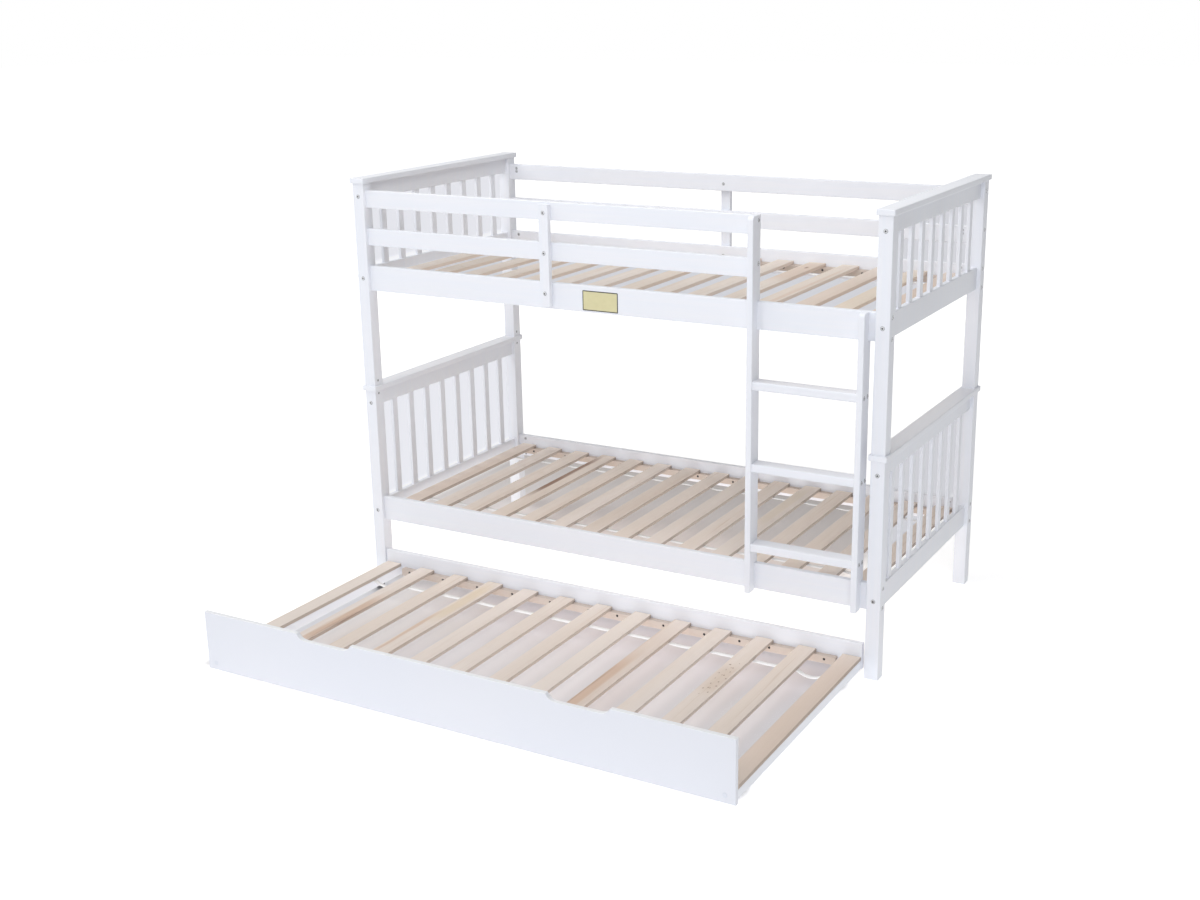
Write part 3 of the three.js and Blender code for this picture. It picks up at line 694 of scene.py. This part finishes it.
def strap_tree():
    """A flat strap along X, tight under each slat, with a slack loop between slats"""
    tree, given, result = new_tree("strap", {
        "Count": 13, "Pitch": 0.15, "First X": 0.0, "Slat Width": 0.062, "From X": 0.0, "To X": 1.0, "Y": 0.0,
        "Top Z": 0.0, "Width": 0.02, "Thickness": 0.0012, "Sag": 0.004, "End Sag": 0.01, "Seed": 1,
        "Material": "material",
    })
    z = calc(tree, "MULTIPLY_ADD", given["Thickness"], -0.5, given["Top Z"])
    start, end = (combine(tree, given[label], given["Y"], z) for label in ("From X", "To X"))
    line = add_node(tree, "GeometryNodeCurvePrimitiveLine", {"Start": start, "End": end}).outputs[0]
    count = calc(tree, "MULTIPLY", given["Count"], float(STEPS_BETWEEN_SLATS))
    line = add_node(tree, "GeometryNodeResampleCurve", {"Curve": line, "Count": count}).outputs[0]
    spot = add_node(tree, "GeometryNodeInputPosition").outputs[0]
    x = add_node(tree, "ShaderNodeSeparateXYZ", {0: spot}).outputs["X"]
    steps = calc(tree, "DIVIDE", calc(tree, "SUBTRACT", x, given["First X"]), given["Pitch"])
    gap = calc(tree, "FLOOR", steps)
    half_slat = calc(tree, "DIVIDE", calc(tree, "MULTIPLY", given["Slat Width"], 0.5), given["Pitch"])
    past_slat = calc(tree, "SUBTRACT", calc(tree, "SUBTRACT", steps, gap), half_slat)
    open_share = calc(tree, "SUBTRACT", 1.0, calc(tree, "MULTIPLY", half_slat, 2.0))
    share = add_node(tree, "ShaderNodeClamp", {0: calc(tree, "DIVIDE", past_slat, open_share)}).outputs[0]
    loop = calc(tree, "MULTIPLY", calc(tree, "MULTIPLY", share, calc(tree, "SUBTRACT", 1.0, share)), -4.0)
    last_gap = calc(tree, "SUBTRACT", given["Count"], 2.0)
    in_first, in_last = (calc(tree, "COMPARE", gap, end_gap, 0.1) for end_gap in (0.0, last_gap))
    at_end = calc(tree, "MAXIMUM", in_first, in_last)
    slack = calc(tree, "MULTIPLY", given["Sag"], chance(tree, 0.15, 1.0, gap, given["Seed"]))
    slack = calc(tree, "MAXIMUM", slack, calc(tree, "MULTIPLY", at_end, given["End Sag"]))
    inputs = {"Geometry": line, "Offset": combine(tree, 0.0, 0.0, calc(tree, "MULTIPLY", loop, slack))}
    line = add_node(tree, "GeometryNodeSetPosition", inputs).outputs[0]
    line = add_node(tree, "GeometryNodeSetCurveNormal", {"Curve": line}, mode="Z_UP").outputs[0]
    inputs = {"Width": given["Width"], "Height": given["Thickness"]}
    section = add_node(tree, "GeometryNodeCurvePrimitiveQuadrilateral", inputs).outputs[0]
    inputs = {"Curve": line, "Profile Curve": section, "Fill Caps": True}
    strap = add_node(tree, "GeometryNodeCurveToMesh", inputs).outputs[0]
    finish_tree(tree, strap, given["Material"], result)
    return tree


def scatter_tree():
    """A small piece at each place, turned to face out of the surface there"""
    tree, given, result = new_tree("fasteners", {"Piece": "object", "Material": "material"})
    piece = add_node(tree, "GeometryNodeObjectInfo", {"Object": given["Piece"]}).outputs["Geometry"]
    facing = add_node(tree, "GeometryNodeInputNamedAttribute", {"Name": "facing"}, data_type="FLOAT_VECTOR")
    turn = add_node(tree, "GeometryNodeInputNamedAttribute", {"Name": "turn"}, data_type="FLOAT")
    align = add_node(tree, "FunctionNodeAlignRotationToVector", {"Vector": facing.outputs[0]}, axis="Z")
    inputs = {"Axis": (0.0, 0.0, 1.0), "Angle": turn.outputs[0]}
    spin = add_node(tree, "FunctionNodeAxisAngleToRotation", inputs).outputs[0]
    inputs = {"Rotation": align.outputs[0], "Rotate By": spin}
    rotation = add_node(tree, "FunctionNodeRotateRotation", inputs, rotation_space="LOCAL").outputs[0]
    inputs = {"Points": given["Geometry"], "Instance": piece, "Rotation": rotation}
    pieces = add_node(tree, "GeometryNodeInstanceOnPoints", inputs).outputs[0]
    finish_tree(tree, pieces, given["Material"], result)
    return tree


# Small round pieces, built ring by ring, with their sizes in millimetres. A ring's last number is painted
# shade for recesses.

TINY = 1e-6


def hexagon(across_flats):
    sixth = math.tau / 6
    return lambda angle: across_flats / 2 / math.cos((angle + sixth / 2) % sixth - sixth / 2)


def single_slot(length, width):
    def reach(angle):
        along, across = max(abs(math.cos(angle)), TINY), max(abs(math.sin(angle)), TINY)
        return min(length / 2 / along, width / 2 / across)
    return reach


def cross_slot(length, width):
    one_way, other_way = single_slot(length, width), single_slot(width, length)
    return lambda angle: max(one_way(angle), other_way(angle))


def closed_mesh(name, built):
    """The built faces as a mesh, all facing outwards"""
    bmesh.ops.recalc_face_normals(built, faces=built.faces)
    mesh = bpy.data.meshes.new(name)
    built.to_mesh(mesh)
    built.free()
    return mesh


def ring_solid(name, rings, steps=24, loop=False):
    """A closed solid about Z. A ring is its reach, a radius or a function of the angle, its height, and how
    much painted shade it gets as a recess, from 0 to 1. A loop joins the last ring to the first, as for a
    wheel with a bore."""
    built = bmesh.new()
    painted_recess_shade = built.verts.layers.float.new("painted_recess_shade")
    rows = []
    for reach, height, depth in rings:
        row = []
        for step in range(steps):
            angle = math.tau * step / steps
            radius = MM * (reach(angle) if callable(reach) else reach)
            vertex = built.verts.new((radius * math.cos(angle), radius * math.sin(angle), MM * height))
            vertex[painted_recess_shade] = depth
            row.append(vertex)
        rows.append(row)
    pairs = list(zip(rows, rows[1:]))
    if loop:
        pairs.append((rows[-1], rows[0]))
    else:
        built.faces.new(rows[0])
        built.faces.new(rows[-1])
    for low, high in pairs:
        for step in range(steps):
            after = (step + 1) % steps
            built.faces.new((low[step], low[after], high[after], high[step]))
    return closed_mesh(name, built)


def bolt_head():
    """A flat bolt head in its counterbore: a ring of painted shade for the counterbore, bright rim, hexagon
    socket in painted shade
    """
    socket = hexagon(5.4)
    return ring_solid("bolt_head", [
        (7.0, -0.4, 1.0), (7.0, 0.15, 1.0), (6.2, 0.2, 1.0), (6.1, 0.3, 0.0), (6.0, 1.1, 0.0),
        (5.4, 1.6, 0.0), (3.9, 1.7, 0.0), (socket, 1.6, 0.1), (socket, 0.4, 1.0),
    ])


def barrel_nut():
    """The end of a barrel nut in its bore, with a slot to turn it by"""
    slot = single_slot(7.0, 1.4)
    return ring_solid("barrel_nut", [
        (5.6, -0.4, 1.0), (5.6, 0.12, 1.0), (5.0, 0.15, 0.9), (4.9, 0.7, 0.0), (4.5, 0.95, 0.0),
        (slot, 0.95, 0.1), (slot, 0.3, 1.0),
    ], steps=32)


def cross_dowel():
    """The end of a locking dowel, with a cross recess"""
    cross = cross_slot(4.4, 1.2)
    return ring_solid("cross_dowel", [
        (4.3, -0.4, 1.0), (4.3, 0.12, 1.0), (3.8, 0.15, 0.9), (3.7, 0.6, 0.2), (3.3, 0.8, 0.2),
        (cross, 0.8, 0.3), (cross, 0.3, 1.0),
    ], steps=32)


def screw_head():
    """A countersunk screw head with a cross recess"""
    cross = cross_slot(4.6, 1.1)
    return ring_solid("screw_head", [
        (4.4, -0.4, 1.0), (4.4, 0.1, 1.0), (3.9, 0.12, 0.9), (3.7, 0.4, 0.35),
        (cross, 0.55, 0.5), (cross, 0.2, 1.0),
    ], steps=32)


def cover_cap():
    """A thin plastic cover over a screw"""
    return ring_solid("cover_cap", [
        (7.6, -0.4, 0.0), (7.6, 0.2, 0.0), (7.1, 0.7, 0.0), (5.2, 1.0, 0.0), (2.0, 1.1, 0.0),
    ], steps=28)


def staple():
    """The back of a wire staple, driven in flat"""
    side, back = single_slot(10.0, 1.2), single_slot(9.0, 0.7)
    return ring_solid("staple", [(side, -0.5, 0.0), (side, 0.3, 0.0), (back, 0.6, 0.0)], steps=20)


# Where the fasteners go

def middle_of(low, high):
    return (low + high) / 2


class Places:
    """Places on surfaces, each with the way it faces, for one kind of fastener on one body"""

    def __init__(self):
        self.spots = []

    def add(self, x, y, z, facing):
        self.spots.append((Vector((x, y, z)), Vector(facing)))

    def mesh(self, name):
        mesh = bpy.data.meshes.new(name)
        mesh.from_pydata([spot for spot, _ in self.spots], [], [])
        mesh.attributes.new("facing", "FLOAT_VECTOR", "POINT")
        mesh.attributes.new("turn", "FLOAT", "POINT")
        for number, (_, way) in enumerate(self.spots):
            mesh.attributes["facing"].data[number].vector = way
            mesh.attributes["turn"].data[number].value = TURN_BETWEEN_HEADS * number % math.pi
        return mesh


SIDES = (("left", -1.0), ("right", 1.0))
ROWS = (("front", -1.0), ("rear", 1.0))
OUT_X, OUT_Y = Vector((1.0, 0.0, 0.0)), Vector((0.0, 1.0, 0.0))
TURN_BETWEEN_HEADS = math.radians(47.0)

RAIL_BOLT_FROM_FOOT = 10 * MM
RAIL_BOLT_FROM_TOP = 14 * MM
PANEL_BOLT_FROM_FOOT = 39 * MM
PANEL_BOLT_FROM_TOP = 46 * MM
GUARD_BOLT_FROM_TOP = 11 * MM
RAIL_STILE_BOLT_RISE = 9 * MM
GUARD_STILE_BOLT_RISE = -4 * MM
LADDER_BOLT_SHIFT = 5 * MM
RUNG_BOLT_INSET = 13 * MM
NUT_INSET = 30 * MM
GUARD_NUTS_FROM_TOP = (16 * MM, 28 * MM)
DOWEL_FROM_TOP = 11 * MM
DOWEL_FROM_FOOT = 18 * MM
DOWEL_FORWARD = 4 * MM


def outer(box, axis, sign):
    """The face of a box that looks along the sign of an axis"""
    return box[1][axis] if sign > 0 else box[0][axis]


def rail_bolt_heights(rail):
    """The two bolts at each end of a side rail"""
    return rail[0].z + RAIL_BOLT_FROM_FOOT, rail[1].z - RAIL_BOLT_FROM_TOP


def bolt_places():
    """Bolt heads on the outside: into the end panels, side rails, guard boards, stiles and rungs"""
    bolts = Places()
    for level in ("lower", "upper"):
        for row, sy in ROWS:
            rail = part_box(level + "_side_rail_" + row)
            for side, sx in SIDES:
                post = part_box(level + "_post_" + row + "_" + side)
                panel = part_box(level + "_end_panel_" + side)
                x, y = middle_of(post[0].x, post[1].x), middle_of(post[0].y, post[1].y)
                for z in rail_bolt_heights(rail):
                    bolts.add(outer(post, 0, sx), y, z, sx * OUT_X)
                for z in (panel[0].z + PANEL_BOLT_FROM_FOOT, panel[1].z - PANEL_BOLT_FROM_TOP):
                    bolts.add(x, outer(post, 1, sy), z, sy * OUT_Y)
    for row, sy in ROWS:
        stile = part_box(row + "_guard_stile")
        x = middle_of(stile[0].x, stile[1].x)
        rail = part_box("upper_side_rail_" + row)
        z = middle_of(rail[0].z, rail[1].z) + RAIL_STILE_BOLT_RISE
        bolts.add(x, outer(stile, 1, sy), z, sy * OUT_Y)
        for level in ("lower", "upper"):
            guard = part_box(row + "_guard_board_" + level)
            z = middle_of(guard[0].z, guard[1].z) + GUARD_STILE_BOLT_RISE
            bolts.add(x, outer(stile, 1, sy), z, sy * OUT_Y)
            y, z = middle_of(guard[0].y, guard[1].y), guard[1].z - GUARD_BOLT_FROM_TOP
            for side, sx in SIDES:
                ladder_end = row == "front" and side == "right"
                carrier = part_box("ladder_stile_left" if ladder_end else "upper_post_" + row + "_" + side)
                shift = LADDER_BOLT_SHIFT if ladder_end else 0.0
                bolts.add(outer(carrier, 0, sx), y - shift, z - shift, sx * OUT_X)
    for number in (1, 2, 3):
        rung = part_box("ladder_rung_%d" % number)
        z = middle_of(rung[0].z, rung[1].z)
        for side, sx in SIDES:
            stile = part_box("ladder_stile_" + side)
            for y in (rung[0].y + RUNG_BOLT_INSET, rung[1].y - RUNG_BOLT_INSET):
                bolts.add(outer(stile, 0, sx), y, z, sx * OUT_X)
    return bolts


def nut_places():
    """Barrel nuts on the inner faces of the rails and guard boards"""
    nuts = Places()
    for row, sy in ROWS:
        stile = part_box(row + "_guard_stile")
        side_rails = [level + "_side_rail_" + row for level in ("lower", "upper")]
        guards = [row + "_guard_board_" + level for level in ("lower", "upper")]
        for name in side_rails + guards:
            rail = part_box(name)
            y = outer(rail, 1, -sy)
            if name in side_rails:
                heights, rise = rail_bolt_heights(rail), RAIL_STILE_BOLT_RISE
            else:
                heights, rise = [rail[1].z - down for down in GUARD_NUTS_FROM_TOP], GUARD_STILE_BOLT_RISE
            for x in (rail[0].x + NUT_INSET, rail[1].x - NUT_INSET):
                for z in heights:
                    nuts.add(x, y, z, -sy * OUT_Y)
            if name != side_rails[0]:
                x, z = middle_of(stile[0].x, stile[1].x), middle_of(rail[0].z, rail[1].z) + rise
                nuts.add(x, y, z, -sy * OUT_Y)
    return nuts


def dowel_places():
    """Locking dowels on the posts' inner faces, above and below the cap that the pins pass through"""
    dowels = Places()
    for row, sy in ROWS:
        for side, sx in SIDES:
            for level in ("lower", "upper"):
                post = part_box(level + "_post_" + row + "_" + side)
                z = post[1].z - DOWEL_FROM_TOP if level == "lower" else post[0].z + DOWEL_FROM_FOOT
                y = middle_of(post[0].y, post[1].y) - DOWEL_FORWARD
                dowels.add(outer(post, 0, -sx), y, z, -sx * OUT_X)
    return dowels


# Each roll of slats, with the screws of the ledgers that carry it. The screws' X is in millimetres.

# Each roll's colour factor is painted light or shade over all its slats, and its side factor is painted shade
# on their long side faces.
ROLLS = {
    "lower": {
        "count": 15, "width": 65 * MM, "body": "bunk_frame", "seed": 11, "sag": 3 * MM, "end_sag": 3 * MM,
        "painted_light_tint": (1.08, 1.08, 1.09, 1.0), "side_painted_shade": 0.54, "screw_height": 14 * MM,
        "screws_x": [-900] + [-870 + 154.5 * number for number in range(12)],
    },
    "upper": {
        "count": 15, "width": 65 * MM, "body": "bunk_frame", "seed": 23, "sag": 3 * MM, "end_sag": 3 * MM,
        "painted_light_tint": (0.97, 0.97, 0.97, 1.0), "side_painted_shade": 1.0, "screw_height": 14 * MM,
        "screws_x": [-895] + [-819 + 154 * number for number in range(12)],
    },
    "trundle": {
        "count": 13, "width": 62 * MM, "body": "trundle", "seed": 5, "sag": 4 * MM, "end_sag": 15 * MM,
        "painted_light_tint": (0.99, 0.99, 1.0, 1.0), "side_painted_shade": 0.6, "screw_height": 17 * MM,
        "screws_x": [-829, -677, -525, -373, -213, -55, 60, 240, 395, 525, 632, 825],
    },
}


def ledger_screw_places(bed):
    """Screws along the ledgers, each a little higher or lower than the last"""
    screws = Places()
    for row, sy in ROWS:
        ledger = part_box(bed + "_ledger_" + row)
        z = ledger[0].z + ROLLS[bed]["screw_height"]
        for number, x in enumerate(ROLLS[bed]["screws_x"]):
            screws.add(x * MM, outer(ledger, 1, -sy), z - (number % 3) * MM, -sy * OUT_Y)
    return screws


def cap_places():
    """Covers on the trundle's front panel, over the screws into the end boards"""
    caps = Places()
    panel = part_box("trundle_front_panel")
    for side, sx in SIDES:
        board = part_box("trundle_end_rail_" + side)
        caps.add(middle_of(board[0].x, board[1].x), panel[0].y, middle_of(board[0].z, board[1].z), -OUT_Y)
    return caps


# Pieces

def place_fasteners(tree, name, head, places, body, material):
    """One kind of fastener on one body: its head at each of its places"""
    master = new_object(name + "_master", head)
    sizes = {"Piece": master, "Material": material}
    piece = grow(name, tree, sizes, places.mesh(name + "_places"))
    bpy.data.objects.remove(master)
    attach(piece, body)


# Dark specks of one trundle slat: Y in metres, and millimetres across the slat

SPECKS = (
    (-0.49, -8), (-0.47, 10), (-0.45, -16), (-0.44, 2), (-0.42, 14), (-0.41, -6), (-0.39, 8), (-0.37, -12),
    (-0.36, 18), (-0.34, 0), (-0.33, -18), (-0.31, 10), (-0.30, -7), (-0.28, 4), (-0.26, -12), (-0.24, 9),
)
SPECKLED_SLAT = 10

# Streaks and tones of single slats, as slat_pine reads them

SLAT_MARKS = {
    "lower": (
        (3, 0.62, 0.34, -0.020, 0.016, BROWN_STREAK, 0.9),
        (3, 0.50, 0.12, -0.024, 0.022, BROWN_STREAK, 0.6),
        (8, 0.65, 0.40, 0.0, 0.06, PINE_PALE, 0.8),
        (10, 0.45, 0.60, 0.0, 0.06, PINE_PALE, 0.8),
        (10, 0.66, 0.30, -0.010, 0.03, YELLOW_STREAK, 0.25),
        (6, 0.45, 0.60, -0.004, 0.05, PINE_LINE, 0.3),
        (0, 0.45, 0.60, 0.004, 0.05, RED_STREAK, 0.25),
    ),
    "upper": (
        (10, 0.72, 0.25, 0.0, 0.05, RED_STREAK, 0.5),
        (10, 0.80, 0.020, 0.006, 0.008, PINE_KNOT, 0.8),
        (11, 0.45, 0.50, 0.012, 0.014, RED_STREAK, 0.5),
        (12, 0.45, 0.60, 0.0, 0.06, RED_STREAK, 0.3),
        (13, 0.45, 0.60, 0.0, 0.06, YELLOW_STREAK, 0.3),
        (14, 0.40, 0.60, 0.0, 0.05, RED_STREAK, 0.5),
    ),
    "trundle": (
        (0, -0.50, 0.80, 0.0, 0.06, PINE_PALE, 0.8),
        (7, -0.50, 0.80, 0.0, 0.06, PINE_PALE, 0.8),
        (1, -0.54, 0.30, 0.016, 0.022, RED_STREAK, 0.9),
        (1, -0.60, 0.20, 0.026, 0.006, BROWN_STREAK, 0.25),
        (3, -0.53, 0.26, -0.022, 0.012, RED_STREAK, 0.8),
        (3, -0.22, 0.24, 0.0, 0.03, YELLOW_STREAK, 0.5),
        (8, -0.50, 0.60, 0.0, 0.06, RED_STREAK, 0.3),
        (8, -0.60, 0.34, -0.014, 0.026, RED_STREAK, 0.9),
        (8, -0.64, 0.24, -0.027, 0.006, BROWN_STREAK, 0.3),
        (10, -0.37, 0.14, 0.0, 0.035, PINE_LINE, 0.4),
        (12, -0.45, 0.60, 0.0, 0.06, RED_STREAK, 0.35),
    ) + tuple((SPECKLED_SLAT, y, 0.005, side * MM, 0.0028, PINE_KNOT, 0.7) for y, side in SPECKS),
}

SLAT_THICKNESS = 12 * MM
SLAT_EDGE = 1.6 * MM
SLAT_STRAY = 1.0 * MM
SLAT_TURN = 0.0016
STRAP_INSET = 155 * MM
STRAP_START = 40 * MM
STRAP_WIDTH = 18 * MM
STRAP_THICKNESS = 1.2 * MM
STRAP_SLACK = 0.1 * MM
STAPLE_FROM_MIDDLE = 11 * MM
STAPLE_FROM_STRAP_END = 5 * MM


def lay_slats(bed, row_tree, band_tree, fastener_tree, band, steel):
    """One roll: slats, two straps under them, and the staples that hold the straps"""
    roll = ROLLS[bed]
    low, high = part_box(bed + "_slat_roll")
    count, width, body = roll["count"], roll["width"], roll["body"]
    first = low.x + width / 2
    pitch = (high.x - low.x - width) / (count - 1)
    base = high.z - SLAT_THICKNESS
    middle = middle_of(low.y, high.y)
    pine = slat_pine(bed + "_slat_pine", first, pitch, SLAT_MARKS[bed], roll["painted_light_tint"], roll["side_painted_shade"])
    slats = grow(bed + "_slats", row_tree, {
        "Count": count, "Pitch": pitch, "First X": first, "Middle Y": middle, "Base Z": base, "Width": width,
        "Thickness": SLAT_THICKNESS, "Length": high.y - low.y, "Edge": SLAT_EDGE, "Stray": SLAT_STRAY,
        "Turn": SLAT_TURN, "Seed": roll["seed"], "Material": pine,
    })
    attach(slats, body)
    pieces = [slats]
    staples = Places()
    strap_from, strap_to = low.x + STRAP_START, high.x - STRAP_START
    strap_under = base - STRAP_SLACK - STRAP_THICKNESS
    for row, sy in ROWS:
        y = middle + sy * ((high.y - low.y) / 2 - STRAP_INSET)
        strap = grow("%s_strap_%s" % (bed, row), band_tree, {
            "Count": count, "Pitch": pitch, "First X": first, "Slat Width": width, "From X": strap_from,
            "To X": strap_to, "Y": y, "Top Z": base - STRAP_SLACK, "Width": STRAP_WIDTH,
            "Thickness": STRAP_THICKNESS, "Sag": roll["sag"], "End Sag": roll["end_sag"],
            "Seed": roll["seed"] + int(sy), "Material": band,
        })
        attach(strap, body)
        pieces.append(strap)
        for number in range(count):
            for _, sx in SIDES:
                x = first + number * pitch + sx * STAPLE_FROM_MIDDLE
                if strap_from + STAPLE_FROM_STRAP_END < x < strap_to - STAPLE_FROM_STRAP_END:
                    staples.add(x, y, strap_under, (0.0, 0.0, -1.0))
    for piece in pieces:
        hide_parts(bed + "_slat_roll")
    place_fasteners(fastener_tree, bed + "_staples", staple(), staples, body, steel)


# The castor wheel's sizes, in millimetres from its axle and its middle

WHEEL_BORE = 3.4
TREAD_FACE = 8.0
HUB_RADIUS = 8.0
CHEEK_FACE = 4.0
RIM_DEPTH = 6.6


def castor_wheel_piece(corner, material):
    """A moulded wheel with a crowned tread, sunk cheeks and a raised hub, on its own axle"""
    low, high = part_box("castor_wheel_" + corner)
    centre = (low + high) / 2
    radius = (high.z - low.z) / 2 / MM
    hub = (high.x - low.x) / 2 / MM
    rim = radius - RIM_DEPTH
    half = [
        (WHEEL_BORE, hub), (hub * 0.75, hub), (HUB_RADIUS, hub - 0.6), (HUB_RADIUS + 0.3, CHEEK_FACE + 0.4),
        (HUB_RADIUS + 1.0, CHEEK_FACE), (rim, CHEEK_FACE), (rim + 0.8, CHEEK_FACE + 0.6),
        (rim + 1.4, TREAD_FACE - 0.4), (rim + 2.0, TREAD_FACE), (radius - 2.2, TREAD_FACE),
        (radius - 0.9, TREAD_FACE - 0.9), (radius - 0.2, TREAD_FACE - 2.6), (radius, TREAD_FACE - 5.0),
    ]
    rings = [(r, -h, 0.0) for r, h in half] + [(r, h, 0.0) for r, h in reversed(half)]
    mesh = ring_solid("castor_wheel_" + corner, rings, steps=56, loop=True)
    mesh.transform(Matrix.Translation(centre) @ Matrix.Rotation(math.pi / 2, 4, "Y"))
    mesh.shade_smooth()
    mesh.set_sharp_from_angle(angle=math.radians(35.0))
    mesh.materials.append(material)
    wheel = new_object("moulded_wheel_" + corner, mesh)
    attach(wheel, "wheel_" + corner)
    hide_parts("castor_wheel_" + corner)


PLATE_LEFT = -71 * MM
PLATE_RIGHT = 63 * MM
PLATE_FOOT = 7 * MM
PLATE_HEIGHT = 67 * MM
PLATE_CORNER = 3 * MM
PLATE_THICKNESS = 0.35 * MM
CORNER_STEPS = 6


def blank_plate():
    """The bare film plate on the front of the upper side rail"""
    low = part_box("upper_side_rail_front")[0]
    bottom = low.z + PLATE_FOOT
    top = bottom + PLATE_HEIGHT
    near_left, near_right = PLATE_LEFT + PLATE_CORNER, PLATE_RIGHT - PLATE_CORNER
    near_bottom, near_top = bottom + PLATE_CORNER, top - PLATE_CORNER
    outline = []
    for cx, cz, start in (
        (near_right, near_top, 0), (near_left, near_top, 90),
        (near_left, near_bottom, 180), (near_right, near_bottom, 270),
    ):
        for step in range(CORNER_STEPS + 1):
            angle = math.radians(start + 90 * step / CORNER_STEPS)
            outline.append((cx + PLATE_CORNER * math.cos(angle), cz + PLATE_CORNER * math.sin(angle)))
    built = bmesh.new()
    back, front = ([built.verts.new((x, y, z)) for x, z in outline] for y in (low.y, low.y - PLATE_THICKNESS))
    built.faces.new(back)
    built.faces.new(front)
    for number in range(len(outline)):
        after = (number + 1) % len(outline)
        built.faces.new((back[number], back[after], front[after], front[number]))
    mesh = closed_mesh("blank_plate", built)
    centre = (middle_of(PLATE_LEFT, PLATE_RIGHT), low.y, middle_of(bottom, top))
    mesh.materials.append(plate_film(centre, (PLATE_RIGHT - PLATE_LEFT) / 2, PLATE_HEIGHT / 2))
    plate = new_object("blank_plate", mesh)
    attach(plate, "bunk_frame")


bpy.context.scene.view_settings.view_transform = "Standard"
set_camera()
set_light()
lay_floor()
paints = {axis: satin_paint(axis) for axis in AXES}
steel = zinc("zinc", (0.70, 0.70, 0.71, 1.0), (0.52, 0.53, 0.55, 1.0))
black_steel = zinc("black_steel", (0.10, 0.09, 0.09, 1.0), (0.05, 0.045, 0.045, 1.0))
dress_cad(paints, bare_pine("ledger_pine", "x"), steel)

row_tree, band_tree, fastener_tree = slat_row_tree(), strap_tree(), scatter_tree()
band = webbing()
for bed in ROLLS:
    lay_slats(bed, row_tree, band_tree, fastener_tree, band, steel)

place_fasteners(fastener_tree, "bolts", bolt_head(), bolt_places(), "bunk_frame", steel)
place_fasteners(fastener_tree, "barrel_nuts", barrel_nut(), nut_places(), "bunk_frame", steel)
place_fasteners(fastener_tree, "dowels", cross_dowel(), dowel_places(), "bunk_frame", steel)
for bed, roll in ROLLS.items():
    name, places = bed + "_ledger_screws", ledger_screw_places(bed)
    place_fasteners(fastener_tree, name, screw_head(), places, roll["body"], black_steel)
caps = cap_places()
place_fasteners(fastener_tree, "trundle_caps", cover_cap(), caps, "trundle", cap_plastic())

black = wheel_plastic()
for corner in ("front_left", "front_right", "rear_left", "rear_right"):
    castor_wheel_piece(corner, black)
blank_plate()
